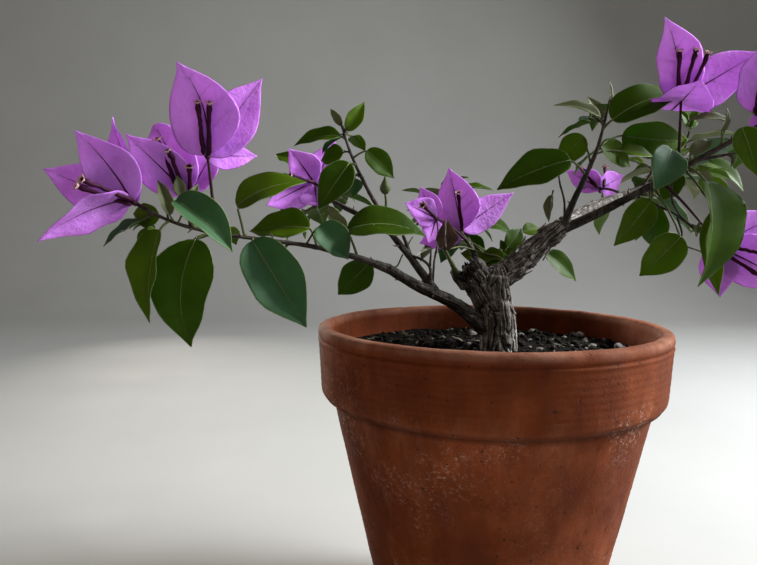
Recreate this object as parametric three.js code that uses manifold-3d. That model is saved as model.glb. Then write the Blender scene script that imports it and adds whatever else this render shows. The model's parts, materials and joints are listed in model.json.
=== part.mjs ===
// A young bougainvillea grown in a terracotta pot: one short trunk with a broken stump,
// tapering boughs, leafy sprays and papery blooms.
// Millimetres. +X is to the right, +Y to the back, +Z up. The origin is the middle of the
// pot's flat underside.
import * as THREE from 'three';
import { mergeVertices } from 'three/addons/utils/BufferGeometryUtils.js';
import Module from 'manifold-3d';

const wasm = await Module();
wasm.setup();

// Driving dimensions of the pot and the soil
const POT_HEIGHT = 160;
const RIM_RADIUS = 90;
const RIM_WALL = 7.5;
const BAND_HEIGHT = 37;
const BAND_TAPER = 2.2;
const BAND_STEP = 6.2;
const LIP_ROUND = 2.4;
const BASE_RADIUS = 54;
const WALL = 7;
const FLOOR = 10;
const DRAIN_HOLES = 3;
const DRAIN_RADIUS = 5;
const DRAIN_CIRCLE = 24;
const DRAIN_SIDES = 12;
const FOOT_ROUND = 2;
const BAND_ROUND = 2.2;
const BAND_FILLET = 1;
const BAND_LIFT = 0.5;
const POT_SIDES = 40;
const LIP_STEPS = 2;
const SOIL_TOP = 144.5;
const SOIL_LUMPS = {
  long: [0.19, 0.23], short: [0.41, 0.37], shortShare: 0.6, shift: 1, rise: 0.9, height: 1.5,
};
const SOIL_SIDES = 24;
const SOIL_RINGS = 6;
const SOIL_PAD = 22;
const SOIL_EDGE = 74;

// Driving dimensions of the plant
const GAP = 0.3;
const MERGE_REACH = 0.05;
const TRUNK_RADIUS = 9.4;
const ROOT_FLARE = 4.5;
const FLARE_HEIGHT = 7;
const TRUNK_LENGTH = 46;
const STUMP_RADIUS = 7.6;
const BLADE_THICKNESS = 1.0;
const STALK_RADIUS = 0.75;
const TUBE_RADIUS = 1.15;
const KNOB_RADIUS = 2.2;
const BRACT_LAYER = 1.1;
const TUBE_SET = 1.3;
const TUBE_PROFILE = [[0, 0], [1, 0.03], [0.85, 0.82], [1.9, 0.97], [0, 1]];
const TUBE_SIDES = 5;
const BLOOM_STALK_RADIUS = 0.85;
const BLOOM_STALK_SIDES = 4;
const BLOOM_STALK_ROWS = 4;
const STEM_SIDES = 6;
const STALK_SIDES = 3;

// Half outlines of the blades: share of the length, share of the half width
const LEAF_OUTLINE = [[0.1, 0.75], [0.36, 1], [0.74, 0.48]];
const BRACT_OUTLINE = [[0.12, 0.6], [0.38, 1], [0.75, 0.56]];

// How far a blade bends along its midrib and folds along it, in radians
const LEAF_SHAPE = { bend: 0.45, fold: 0.2 };
const BRACT_SHAPE = { bend: -0.5, fold: 0.3 };
const STALK_RINGS = [0.3, 0.95];
const STALK_RISE = 0.12;
// Side twigs by rule: where the first one stands, and how they turn, run along and shorten
const TWIG = { first: 0.7, golden: 137.5, uneven: 20, along: 0.5, shorten: 0.3, lengths: 0.15 };
// Their leaves: how far they run along, droop, look back, shorten and differ
const TWIG_LEAF = {
  along: 0.55, lastAside: 0.25, droop: 0.25, drooping: 0.3, facing: 0.5, back: 0.2, stalk: 4, longest: 1.05,
  shorten: 0.25, lengths: 0.12, width: 0.6,
};

// Trunk and stump centre lines
const TRUNK_LINE = [[4, 0, SOIL_TOP - 5], [4, 0, 156], [3, 0, 167], [1, 0, 177], [2, 0, 185]];
const STUMP_LINE = [[1, 0, 168], [-5, -1, 178], [-11, -2, 186.5]];
const TRUNK_SIDES = 12;
const TRUNK_ROWS = 9;
const STUMP_SIDES = 9;
const STUMP_ROWS = 3;
const ROOT_LOBES = [{ count: 3, depth: 0.4, turn: 0.6 }, { count: 5, depth: 0.25, turn: -1 }];
const LOBE_MEAN = 0.6;
const SPLINTER = {
  count: 6, sides: 5, seed: 5, radius: 2.6, taper: 0.85, ring: 0.6, sink: 2.5, length: 6, mean: 0.75,
  uneven: 0.45, around: 0.3,
};

// How finely limbs are cut: the length of a row and the sides of thick and thin boughs
const ROW_LENGTH = 9;
const THICK_BOUGH = 4;
const BOUGH_SIDES = { thick: 10, thin: 8 };
const FRAME_STEPS = 60;

// Limbs: each centre line runs from the parent to the tip of its spray. The bough is the
// part up to the share "leafy", and the spray's stem is the rest.
const LINES = {
  left: {
    points: [[-2, -1, 157], [-19, -9, 171], [-39, -18, 181], [-57, -25, 191], [-86, -36, 200],
      [-112, -43, 204], [-133, -50, 207], [-150, -56, 212], [-165, -60, 220]],
    radii: [4.5, 0.8], thinning: 2.3, leafy: 0.36,
  },
  left_upper: {
    points: [[-30, -14, 178], [-42, -13, 194], [-53, -11, 208], [-57, -10, 216], [-66, -8, 232],
      [-73, -8, 247], [-78, -8, 262]],
    radii: [2.3, 0.7], thinning: 1.2, leafy: 0.46,
  },
  left_back: {
    points: [[-53, -11, 208], [-66, 8, 215], [-80, 28, 222], [-92, 48, 229], [-99, 68, 236],
      [-104, 86, 245]],
    radii: [1.8, 0.7], thinning: 1, leafy: 0.38,
  },
  centre_back: {
    points: [[1, 4, 178], [-3, 22, 189], [-6, 36, 199], [-9, 52, 210], [-12, 70, 220], [-13, 86, 229]],
    radii: [2.4, 0.7], thinning: 1, leafy: 0.4,
  },
  right: {
    points: [[2, 0, 182], [14, 2, 191], [26, 4, 202], [38, 5, 211]],
    radii: [7.2, 5.2], thinning: 1, leafy: 1,
  },
  right_long: {
    points: [[36, 3, 209], [49, 0, 215], [70, -9, 227], [89, -17, 239], [110, -25, 252], [129, -30, 264],
      [146, -33, 276]],
    radii: [2.9, 0.9], thinning: 1.3, leafy: 0.34,
  },
  right_upright: {
    points: [[37, 3, 209], [41, -1, 222], [46, -4, 235], [51, -7, 249], [54, -9, 263], [57, -9, 277]],
    radii: [2.4, 0.6], thinning: 1.2, leafy: 0.4,
  },
  right_back: {
    points: [[39, 6, 212], [64, 28, 223], [86, 44, 230], [106, 58, 238], [125, 74, 248], [140, 88, 260]],
    radii: [3.8, 0.9], thinning: 1.1, leafy: 0.42,
  },
};

// Leaves that are placed one by one: where on the stem, the leaf stalk as an offset, the
// blade's direction (swing from +X towards +Z, lean towards the front), its turn about the
// midrib, its length and its width as a share of that.
const PLACED_LEAVES = {
  left: [
    [0.91, [-3, -4, -4], 253, 5, 40, 42, 0.6],
    [0.81, [-6, -4, -3], 265, 6, 5, 50, 0.64],
    [0.85, [-6, -8, 12], 326, 10, -40, 33, 0.62],
    [0.71, [0, -2, -1], 303, 10, -8, 47, 0.62],
    [0.73, [-4, 2, 14], 29, 0, -45, 34, 0.56],
    [0.55, [-4, 6, 9], 175, -10, 40, 33, 0.6],
    [0.58, [8, 2, 8], 317, 10, -25, 17, 0.8],
    [0.44, [-5, -3, 13], 6, 5, -52, 38, 0.6],
    [0.38, [-4, 7, 1], 226, -10, 0, 26, 0.62],
    [0.9, [-1, -2, 3], 105, 0, 30, 17, 0.45],
    [0.89, [4, -4, 5], 62, 0, 20, 14, 0.5],
    [0.92, [-3, 2, 1], 175, -20, 0, 18, 0.6],
  ],
  left_upper: [
    [0.97, [2, 0, -1], 57, 0, 10, 18, 0.5],
    [0.985, [0, 1, 0], 123, -10, 0, 12, 0.4],
    [0.91, [-3, 0, 2], 183, 5, 45, 24, 0.5],
    [0.81, [7, 0, 4], 319, 0, -15, 20, 0.62],
    [0.77, [-3, -4, 1], 234, 15, 10, 28, 0.6],
    [0.84, [-4, 8, 1], 190, -25, 20, 16, 0.7],
  ],
  right_upright: [
    [0.42, [-10, -8, 7], 195, 0, 35, 39, 0.55],
    [0.5, [-3, 3, 15], 229, -10, 10, 20, 0.7],
    [0.79, [-2, 0, 3], 154, 0, 50, 24, 0.4],
    [0.8, [0, 6, 2], 107, -15, 20, 16, 0.5],
    [0.9, [0, 0, 1], 76, 0, 60, 13, 0.35],
    [0.75, [3, -5, 4], 30, 0, -40, 34, 0.6],
    [0.64, [2, 3, 1], 335, -10, -20, 23, 0.6],
    [0.62, [16, 11, 8], 354, 0, -35, 36, 0.6],
    [0.58, [15, 5, 2], 0, 0, -40, 18, 0.55],
  ],
  right_long: [
    [0.4, [3, -6, 15], 243, 30, 0, 24, 0.8],
    [0.38, [0, 3, -8], 235, 2, 0, 29, 0.6],
    [0.37, [14, -4, -25], 231, -5, 0, 28, 0.7],
    [0.36, [3, 6, -8], 287, -10, 15, 28, 0.55],
    [0.5, [3, -16, -8], 270, 10, -40, 50, 0.72],
    [0.49, [13, -8, -21], 268, 5, 45, 42, 0.5],
    [0.44, [8, 6, 2], 239, -10, 25, 17, 0.7],
    [0.52, [1, 3, 5], 35, 0, -25, 14, 0.6],
    [0.54, [6, 9, -4], 310, 0, -20, 13, 0.6],
    [0.72, [-5, -7, 2], 284, 20, 10, 24, 0.6],
    [0.64, [-2, -2, 7], 65, 0, 40, 12, 0.5],
    [0.63, [5, 4, 13], 169, 0, 50, 19, 0.4],
  ],
  centre_back: [
    [0.45, [13, 8, -10], 165, -5, 20, 17, 0.7],
    [0.46, [16, -4, -12], 40, 10, 0, 14, 0.8],
  ],
};

// Sprays that fill in by rule: side twigs, their length, leaves on each, leaf length, the
// way that they lean and the seed of their small differences
const TWIG_RULES = {
  left: { twigs: 3, long: 10, leaves: 2, leaf: 20, way: [-0.2, 1.6, -0.1], from: 0.5, seed: 11 },
  left_upper: { twigs: 2, long: 9, leaves: 2, leaf: 17, way: [0, 1.8, 0], from: 0.55, seed: 23 },
  left_back: { twigs: 6, long: 17, leaves: 3, leaf: 28, way: [0, 0.6, -0.2], from: 0.45, seed: 37 },
  centre_back: { twigs: 7, long: 17, leaves: 3, leaf: 28, way: [0, 0.7, -0.3], from: 0.45, seed: 41 },
  right_upright: { twigs: 3, long: 12, leaves: 2, leaf: 22, way: [0.4, 1.3, 0], from: 0.5, seed: 53 },
  right_long: { twigs: 6, long: 18, leaves: 3, leaf: 28, way: [0.3, 0.6, -0.1], from: 0.66, seed: 67 },
  right_back: { twigs: 8, long: 22, leaves: 3, leaf: 32, way: [0.1, 0.4, 0], from: 0.42, seed: 79 },
};

// Blooms: the stalk's root on a line, the bloom's foot, bracts (swing, lean, turn, length,
// width share) and flower tubes (swing, lean, length)
const BLOOMS = {
  bloom_left_low: {
    line: 'left', at: 0.965, foot: [-165, -61, 220],
    bracts: [[121, 12, 0, 37, 0.64], [165, -18, 20, 43, 0.54], [200, 28, -40, 43, 0.58],
      [110, -28, 0, 46, 0.42]],
    tubes: [[158, 15, 21], [150, 40, 25]],
  },
  bloom_left_middle: {
    line: 'left', at: 0.86, foot: [-146, -46, 225],
    bracts: [[131, 15, 0, 36, 0.6], [122, -28, 25, 46, 0.5], [62, -40, -20, 30, 0.6]],
    tubes: [[106, 5, 24], [103, 10, 19], [82, 10, 12]],
  },
  bloom_left_high: {
    line: 'left', at: 0.8, foot: [-134, -54, 241],
    bracts: [[103, 8, 0, 40, 0.74], [60, -24, 15, 43, 0.56], [4, -50, 0, 26, 0.5]],
    tubes: [[95, 5, 21], [87, 5, 21]],
  },
  bloom_left_back: {
    line: 'left_back', at: 0.55, foot: [-97, 50, 236],
    bracts: [[125, 35, 0, 31, 0.65], [65, -20, 10, 28, 0.65], [205, 15, -20, 33, 0.65],
      [290, 50, 0, 30, 0.65]],
    tubes: [[165, 25, 16]],
  },
  bloom_centre: {
    line: 'centre_back', at: 0.52, foot: [-11, 38, 209],
    bracts: [[106, 12, 0, 39, 0.66], [39, -30, 20, 41, 0.48], [200, -40, 0, 30, 0.6]],
    tubes: [[102, 20, 24]],
  },
  bloom_centre_low: {
    line: 'centre_back', at: 0.42, foot: [-27, 23, 215],
    bracts: [[158, 15, 10, 22, 0.75], [118, -8, 0, 20, 0.7], [250, 25, 0, 17, 0.8]],
    tubes: [[140, 25, 14]],
  },
  bloom_right_high: {
    line: 'right_long', at: 0.475, foot: [88, -18, 273],
    bracts: [[112, 8, 0, 40, 0.62], [33, -16, 10, 47, 0.52], [244, 46, 0, 29, 0.95]],
    tubes: [[99, 5, 21], [84, 5, 21], [74, 5, 21]],
  },
  bloom_right_end: {
    line: 'right_long', at: 0.8, foot: [121, -24, 266],
    bracts: [[94, 10, 0, 36, 0.66], [31, -28, 15, 40, 0.6], [312, 40, 0, 32, 0.7]],
    tubes: [[75, 20, 20], [55, 20, 20]],
  },
  bloom_right_low: {
    line: 'right_long', at: 0.4, foot: [114, -8, 201],
    bracts: [[328, 10, 0, 40, 0.68], [28, -20, 10, 37, 0.64], [264, 18, 20, 29, 0.66]],
    tubes: [[346, 15, 22], [318, 20, 22]],
  },
  bloom_right_back: {
    line: 'right_back', at: 0.42, foot: [76, 64, 234],
    bracts: [[150, -50, 0, 33, 0.66], [30, -50, 10, 33, 0.62], [90, -78, 0, 36, 0.62]],
    tubes: [[120, -60, 18], [70, -60, 18]],
  },
};

const FINISH = {
  terracotta: { color: 0x7d4230, roughness: 0.85 },
  soil: { color: 0x1d1712, roughness: 0.95 },
  bark: { color: 0x5b5049, roughness: 0.9 },
  leaf: { color: 0x3a5614, roughness: 0.5 },
  bract: { color: 0x9a55bd, roughness: 0.6 },
};

const plant = new THREE.Group();

function finishOf(name) {
  const { color, roughness } = FINISH[name];
  return new THREE.MeshStandardMaterial({ color, roughness, metalness: 0 });
}

function vector(numbers) {
  return new THREE.Vector3(...numbers);
}

function curveThrough(points) {
  return new THREE.CatmullRomCurve3(points.map(vector), false, 'centripetal');
}

// Solids: a closed geometry becomes a manifold, and back
function weld(geometry) {
  const bare = geometry.clone();
  for (const name of Object.keys(bare.attributes)) {
    if (name !== 'position') bare.deleteAttribute(name);
  }
  const merged = mergeVertices(bare, 1e-3);
  const kept = [];
  const corners = merged.index.array;
  for (let i = 0; i < corners.length; i += 3) {
    const [a, b, c] = [corners[i], corners[i + 1], corners[i + 2]];
    if (a !== b && b !== c && c !== a) kept.push(a, b, c);
  }
  merged.setIndex(kept);
  return merged;
}

function solidOf(geometry) {
  const welded = weld(geometry);
  return new wasm.Manifold(new wasm.Mesh({
    numProp: 3,
    vertProperties: new Float32Array(welded.attributes.position.array),
    triVerts: new Uint32Array(welded.index.array),
  }));
}

function geometryOf(solid) {
  const mesh = solid.getMesh();
  const geometry = new THREE.BufferGeometry();
  geometry.setAttribute('position', new THREE.BufferAttribute(new Float32Array(mesh.vertProperties), 3));
  geometry.setIndex(new THREE.BufferAttribute(new Uint32Array(mesh.triVerts), 1));
  geometry.computeVertexNormals();
  return geometry;
}

function largestOf(solid) {
  const parts = solid.decompose();
  return parts.reduce((best, part) => (part.volume() > best.volume() ? part : best)).simplify(MERGE_REACH);
}

function joined(solids) {
  return solids.reduce((whole, solid) => whole.add(solid));
}

function overlaps(solid, other) {
  return solid.intersect(other).volume() > 0;
}

function addPiece(name, solid, finish) {
  const mesh = new THREE.Mesh(geometryOf(solid), finishOf(finish));
  mesh.name = name;
  plant.add(mesh);
}

// Limbs: a tapered cylinder whose rings are laid along a centre line
function limb(curve, from, to, radiusAt, sides, rows) {
  const geometry = new THREE.CylinderGeometry(1, 1, 1, sides, rows);
  const frames = curve.computeFrenetFrames(FRAME_STEPS, false);
  const place = geometry.attributes.position;
  const point = new THREE.Vector3();
  for (let i = 0; i < place.count; i += 1) {
    point.fromBufferAttribute(place, i);
    const share = from + (to - from) * (point.y + 0.5);
    const step = Math.round(share * FRAME_STEPS);
    const radius = radiusAt(share, Math.atan2(point.z, point.x));
    const spot = curve.getPointAt(share);
    spot.addScaledVector(frames.normals[step], point.x * radius);
    spot.addScaledVector(frames.binormals[step], -point.z * radius);
    place.setXYZ(i, spot.x, spot.y, spot.z);
  }
  return solidOf(geometry);
}

// A limb thins from its root to its tip, the faster at first the higher its thinning is
function taper({ radii, thinning }, grow) {
  return (share) => radii[1] + (radii[0] - radii[1]) * (1 - share) ** thinning + grow;
}

// The section of a trunk at its foot stands out in root lobes
function trunkRadius(grow) {
  return (share, angle) => {
    const height = share * TRUNK_LENGTH;
    const flare = ROOT_FLARE * Math.exp(-height / FLARE_HEIGHT);
    const lobes = ROOT_LOBES.map(({ count, depth, turn }) => depth * Math.cos(angle * count + turn));
    return TRUNK_RADIUS + flare * (lobes[0] + lobes[1] + LOBE_MEAN) + grow;
  };
}

// The ground plane's block, which cuts the trunk's foot flat just above the soil
function groundBlock() {
  const geometry = new THREE.BoxGeometry(RIM_RADIUS, RIM_RADIUS, POT_HEIGHT);
  geometry.translate(0, 0, SOIL_TOP + GAP - POT_HEIGHT / 2);
  return solidOf(geometry);
}

function trunkSolid(grow = 0) {
  const trunk = limb(curveThrough(TRUNK_LINE), 0, 1, trunkRadius(grow), TRUNK_SIDES, TRUNK_ROWS);
  const stumpCurve = curveThrough(STUMP_LINE);
  const stump = limb(stumpCurve, 0, 1, () => STUMP_RADIUS + grow, STUMP_SIDES, STUMP_ROWS);
  return joined([trunk, stump, ...splinters(stumpCurve, grow)]).subtract(groundBlock());
}

// The broken end of the stump: pointed splinters of uneven length round its edge
function splinters(curve, grow) {
  const draw = makeDraws(SPLINTER.seed);
  const tip = curve.getPointAt(1);
  const way = curve.getTangentAt(1);
  const side = new THREE.Vector3(0, 1, 0).cross(way).normalize();
  const over = way.clone().cross(side);
  const made = [];
  for (let i = 0; i < SPLINTER.count; i += 1) {
    const angle = ((i + spread(draw, SPLINTER.around)) / SPLINTER.count) * Math.PI * 2;
    const out = side.clone().multiplyScalar(Math.cos(angle)).addScaledVector(over, Math.sin(angle));
    const root = tip.clone().addScaledVector(out, STUMP_RADIUS * SPLINTER.ring);
    root.addScaledVector(way, -SPLINTER.sink);
    const reach = SPLINTER.length * (SPLINTER.mean + spread(draw, SPLINTER.uneven));
    const point = root.clone().addScaledVector(way, SPLINTER.sink + reach).add(out);
    const radiusAt = (share) => (SPLINTER.radius + grow) * (1 - SPLINTER.taper * share);
    made.push(limb(new THREE.LineCurve3(root, point), 0, 1, radiusAt, SPLINTER.sides, 1));
  }
  return made;
}

// Blades: a four-sided lathe whose rings are laid along a stalk and a bent midrib. A ring
// is a centre, the way across, the way that the face looks, and its half width and lift.
function bladeRings(foot, heading, facing, length, width, outline, shape) {
  const across = heading.clone().cross(facing).normalize();
  const at = (share) => {
    const angle = shape.bend * share;
    return foot.clone()
      .addScaledVector(heading, (length * Math.sin(angle)) / shape.bend)
      .addScaledVector(facing, (-length * (1 - Math.cos(angle))) / shape.bend);
  };
  const rings = outline.map(([share, half]) => ({
    centre: at(share), across, facing,
    half: (half * width * Math.cos(shape.fold)) / 2,
    lift: (half * width * Math.sin(shape.fold)) / 2,
    thick: BLADE_THICKNESS / 2,
  }));
  return { rings, tip: at(1) };
}

function lathed(start, rings, tip) {
  const profile = [new THREE.Vector2(0, 0)];
  rings.forEach((ring, i) => profile.push(new THREE.Vector2(1, i + 1)));
  profile.push(new THREE.Vector2(0, rings.length + 1));
  const geometry = new THREE.LatheGeometry(profile, 4);
  const place = geometry.attributes.position;
  for (let i = 0; i < place.count; i += 1) {
    const station = Math.round(place.getY(i));
    const ring = rings[station - 1];
    const spot = (station === 0 ? start : ring?.centre ?? tip).clone();
    if (ring) {
      const [x, z] = [place.getX(i), place.getZ(i)];
      spot.addScaledVector(ring.across, x * ring.half);
      spot.addScaledVector(ring.facing, Math.abs(x) * ring.lift + z * ring.thick);
    }
    place.setXYZ(i, spot.x, spot.y, spot.z);
  }
  return solidOf(geometry);
}

function bractSolid(foot, heading, facing, length, width) {
  const { rings, tip } = bladeRings(foot, heading, facing, length, width, BRACT_OUTLINE, BRACT_SHAPE);
  return lathed(foot, rings, tip);
}

// A leaf runs on from its stalk in one body
function leafSolid(root, foot, heading, facing, length, width) {
  const { rings, tip } = bladeRings(foot, heading, facing, length, width, LEAF_OUTLINE, LEAF_SHAPE);
  const way = foot.clone().sub(root).normalize();
  const side = way.clone().cross(facing).normalize();
  const over = side.clone().cross(way);
  const stalkRings = STALK_RINGS.map((share) => ({
    centre: root.clone().lerp(foot, share), across: side, facing: over,
    half: STALK_RADIUS, lift: 0, thick: STALK_RADIUS,
  }));
  return lathed(root, [...stalkRings, ...rings], tip);
}

function headingOf(swing, lean) {
  const [s, l] = [swing, lean].map(THREE.MathUtils.degToRad);
  return new THREE.Vector3(Math.cos(s) * Math.cos(l), -Math.sin(l), Math.sin(s) * Math.cos(l));
}

// The way that a blade faces: as near the front as its direction lets it, then turned
function facingOf(heading, turn) {
  const front = new THREE.Vector3(0, -1, 0);
  front.addScaledVector(heading, -front.dot(heading)).normalize();
  return front.applyAxisAngle(heading, THREE.MathUtils.degToRad(turn));
}

function stalk(root, foot, radius, sides = STALK_SIDES, rows = 2) {
  const middle = root.clone().lerp(foot, 0.5);
  middle.z += root.distanceTo(foot) * STALK_RISE;
  const curve = new THREE.QuadraticBezierCurve3(root, middle, foot);
  return limb(curve, 0, 1, () => radius, sides, rows);
}

// A small generator with the same draws wherever it is written
function makeDraws(seed) {
  let state = seed;
  return () => {
    state = (state * 16807) % 2147483647;
    return state / 2147483647;
  };
}

function spread(draw, size) {
  return (draw() - 0.5) * 2 * size;
}

// Side twigs by rule, turned by the golden angle along the stem, with leaves on both sides
function ruleTwigs(curve, rule, rootRadius) {
  const draw = makeDraws(rule.seed);
  const made = [];
  for (let i = 0; i < rule.twigs; i += 1) {
    const share = rule.from + ((1 - rule.from) * (i + TWIG.first)) / rule.twigs;
    const root = curve.getPointAt(share);
    const along = curve.getTangentAt(share);
    const around = THREE.MathUtils.degToRad(i * TWIG.golden + spread(draw, TWIG.uneven));
    const side = new THREE.Vector3(0, 0, 1).cross(along).normalize();
    const over = along.clone().cross(side).normalize();
    const out = side.multiplyScalar(Math.cos(around)).addScaledVector(over, Math.sin(around));
    const way = out.add(vector(rule.way)).addScaledVector(along, TWIG.along).normalize();
    const long = rule.long * (1 - TWIG.shorten * share + spread(draw, TWIG.lengths));
    const tip = root.clone().addScaledVector(way, long);
    const twig = stalk(root, tip, rootRadius);
    made.push({ solid: twig, leaves: twigLeaves(root, tip, way, rule, draw) });
  }
  return made;
}

function twigLeaves(root, tip, way, rule, draw) {
  const leaves = [];
  for (let k = 0; k < rule.leaves; k += 1) {
    const share = (k + 1) / rule.leaves;
    const last = k === rule.leaves - 1;
    const level = way.clone().cross(new THREE.Vector3(0, 0, 1)).normalize();
    const hand = (k % 2 ? 1 : -1) * (last ? TWIG_LEAF.lastAside : 1);
    const heading = way.clone().multiplyScalar(TWIG_LEAF.along).addScaledVector(level, hand);
    heading.z += spread(draw, TWIG_LEAF.drooping) - TWIG_LEAF.droop;
    heading.normalize();
    const start = root.clone().lerp(tip, share);
    const foot = start.clone().addScaledVector(heading, TWIG_LEAF.stalk);
    const aside = spread(draw, TWIG_LEAF.facing);
    const facing = new THREE.Vector3(aside, spread(draw, TWIG_LEAF.facing) - TWIG_LEAF.back, 1);
    facing.addScaledVector(heading, -facing.dot(heading)).normalize();
    const uneven = spread(draw, TWIG_LEAF.lengths);
    const length = rule.leaf * (TWIG_LEAF.longest - TWIG_LEAF.shorten * share + uneven);
    leaves.push(leafSolid(start, foot, heading, facing, length, length * TWIG_LEAF.width));
  }
  return leaves;
}

function stemSolid(line, curve, grow) {
  const from = line.leafy + GAP / curve.getLength();
  const rows = Math.round((curve.getLength() * (1 - from)) / ROW_LENGTH);
  return limb(curve, from, 1, taper(line, grow), STEM_SIDES, rows);
}

function placedLeaves(name, curve) {
  return (PLACED_LEAVES[name] ?? []).map(([at, offset, swing, lean, turn, length, wide]) => {
    const root = curve.getPointAt(at);
    const foot = root.clone().add(vector(offset));
    const heading = headingOf(swing, lean);
    return leafSolid(root, foot, heading, facingOf(heading, turn), length, length * wide);
  });
}

// Leafy sprays: one stem with placed leaves and rule twigs. What would touch a limb or a
// bloom that already stands is left out.
function spray(name, line, curve, standing) {
  const others = joined(standing);
  const clear = (solid) => !overlaps(solid, others);
  const kept = [stemSolid(line, curve, 0), ...placedLeaves(name, curve).filter(clear)];
  for (const twig of ruleTwigs(curve, TWIG_RULES[name], STALK_RADIUS)) {
    if (clear(twig.solid)) kept.push(twig.solid, ...twig.leaves.filter(clear));
  }
  return largestOf(joined(kept));
}

// Blooms: a stalk, a small knob, papery bracts and the flower tubes inside them
function tube(foot, heading, length) {
  const points = TUBE_PROFILE.map(([r, share]) => new THREE.Vector2(r * TUBE_RADIUS, share * length));
  const geometry = new THREE.LatheGeometry(points, TUBE_SIDES);
  geometry.applyQuaternion(new THREE.Quaternion().setFromUnitVectors(new THREE.Vector3(0, 1, 0), heading));
  geometry.translate(foot.x, foot.y, foot.z);
  return solidOf(geometry);
}

function bloomSolid(plan, curve) {
  const foot = vector(plan.foot);
  const root = curve.getPointAt(plan.at);
  const knob = new THREE.IcosahedronGeometry(KNOB_RADIUS, 0);
  knob.translate(foot.x, foot.y, foot.z);
  const parts = [solidOf(knob), stalk(root, foot, BLOOM_STALK_RADIUS, BLOOM_STALK_SIDES, BLOOM_STALK_ROWS)];
  plan.bracts.forEach(([swing, lean, turn, length, wide], i) => {
    const heading = headingOf(swing, lean);
    const facing = facingOf(heading, turn);
    const start = foot.clone().addScaledVector(facing, -BRACT_LAYER * i);
    parts.push(bractSolid(start, heading, facing, length, length * wide));
  });
  for (const [swing, lean, length] of plan.tubes) {
    const heading = headingOf(swing, lean);
    const start = foot.clone().addScaledVector(facingOf(heading, 0), TUBE_SET);
    parts.push(tube(start, heading, length));
  }
  return joined(parts);
}

// The inside of the pot, from the floor to the lip: radius and height
const NECK_HEIGHT = POT_HEIGHT - BAND_HEIGHT;
const NECK_RADIUS = RIM_RADIUS - BAND_TAPER - BAND_STEP;
const NECK_SHOULDER = { below: 4, above: 12, inset: 1.5 };
const INNER_WALL = [
  [BASE_RADIUS - WALL, FLOOR],
  [NECK_RADIUS - WALL, NECK_HEIGHT - NECK_SHOULDER.below],
  [RIM_RADIUS - RIM_WALL - NECK_SHOULDER.inset, NECK_HEIGHT + NECK_SHOULDER.above],
  [RIM_RADIUS - RIM_WALL, POT_HEIGHT - LIP_ROUND],
];

function innerRadius(height) {
  const next = INNER_WALL.findIndex(([, z]) => z > height);
  const [r0, z0] = INNER_WALL[next - 1];
  const [r1, z1] = INNER_WALL[next];
  return r0 + ((r1 - r0) * (height - z0)) / (z1 - z0);
}

function turned(outline, sides) {
  const geometry = new THREE.LatheGeometry(outline.map(([r, z]) => new THREE.Vector2(r, z)), sides);
  return geometry.rotateX(Math.PI / 2);
}

function lipArc(radius, inner) {
  const points = [];
  for (let i = 0; i <= LIP_STEPS; i += 1) {
    const angle = (i / LIP_STEPS) * (Math.PI / 2);
    const along = inner ? Math.sin(angle) : Math.cos(angle);
    const up = inner ? Math.cos(angle) : Math.sin(angle);
    const side = inner ? -1 : 1;
    points.push([radius + side * LIP_ROUND * along, POT_HEIGHT - LIP_ROUND + LIP_ROUND * up]);
  }
  return points;
}

// Pot: an outline turned round the axis, with drain holes through its floor
function potSolid() {
  const outline = [
    [0, 0],
    [BASE_RADIUS - FOOT_ROUND, 0],
    [BASE_RADIUS, FOOT_ROUND],
    [NECK_RADIUS, NECK_HEIGHT - BAND_FILLET],
    [NECK_RADIUS + BAND_FILLET, NECK_HEIGHT],
    [NECK_RADIUS + BAND_STEP - BAND_ROUND, NECK_HEIGHT + BAND_LIFT],
    [NECK_RADIUS + BAND_STEP, NECK_HEIGHT + BAND_ROUND],
    ...lipArc(RIM_RADIUS - LIP_ROUND, false),
    ...lipArc(RIM_RADIUS - RIM_WALL + LIP_ROUND, true),
    ...INNER_WALL.slice(0, -1).reverse(),
    [0, FLOOR],
  ];
  const holes = [];
  for (let i = 0; i < DRAIN_HOLES; i += 1) {
    const angle = (i / DRAIN_HOLES) * Math.PI * 2;
    const hole = new THREE.CylinderGeometry(DRAIN_RADIUS, DRAIN_RADIUS, FLOOR * 3, DRAIN_SIDES);
    hole.rotateX(Math.PI / 2);
    hole.translate(DRAIN_CIRCLE * Math.cos(angle), DRAIN_CIRCLE * Math.sin(angle), 0);
    holes.push(solidOf(hole));
  }
  return solidOf(turned(outline, POT_SIDES)).subtract(joined(holes));
}

// Soil: fills the pot, lumpy on top between a level pad under the trunk and a level edge
function soilHeight(x, y) {
  const { long, short, shortShare, shift, rise, height } = SOIL_LUMPS;
  const wide = Math.sin(x * long[0] + shift) * Math.cos(y * long[1]);
  const narrow = Math.sin(x * short[0] - y * short[1]);
  return SOIL_TOP + rise + height * (wide + shortShare * narrow);
}

function soilSolid() {
  const foot = FLOOR + GAP;
  const shoulder = NECK_HEIGHT - NECK_SHOULDER.below;
  const rings = [];
  for (let i = 0; i <= SOIL_RINGS; i += 1) {
    rings.push([SOIL_EDGE + ((SOIL_PAD - SOIL_EDGE) * i) / SOIL_RINGS, SOIL_TOP]);
  }
  const walls = [foot, shoulder, SOIL_TOP].map((height) => [innerRadius(height) - GAP, height]);
  const geometry = turned([[0, foot], ...walls, ...rings, [0, SOIL_TOP]], SOIL_SIDES);
  const place = geometry.attributes.position;
  for (let i = 0; i < place.count; i += 1) {
    const [x, y, z] = [place.getX(i), place.getY(i), place.getZ(i)];
    const radius = Math.hypot(x, y);
    const lumpy = radius > SOIL_PAD + 1 && radius < SOIL_EDGE + 1;
    if (lumpy && Math.abs(z - SOIL_TOP) < GAP) place.setZ(i, soilHeight(x, y));
  }
  return solidOf(geometry);
}

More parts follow.
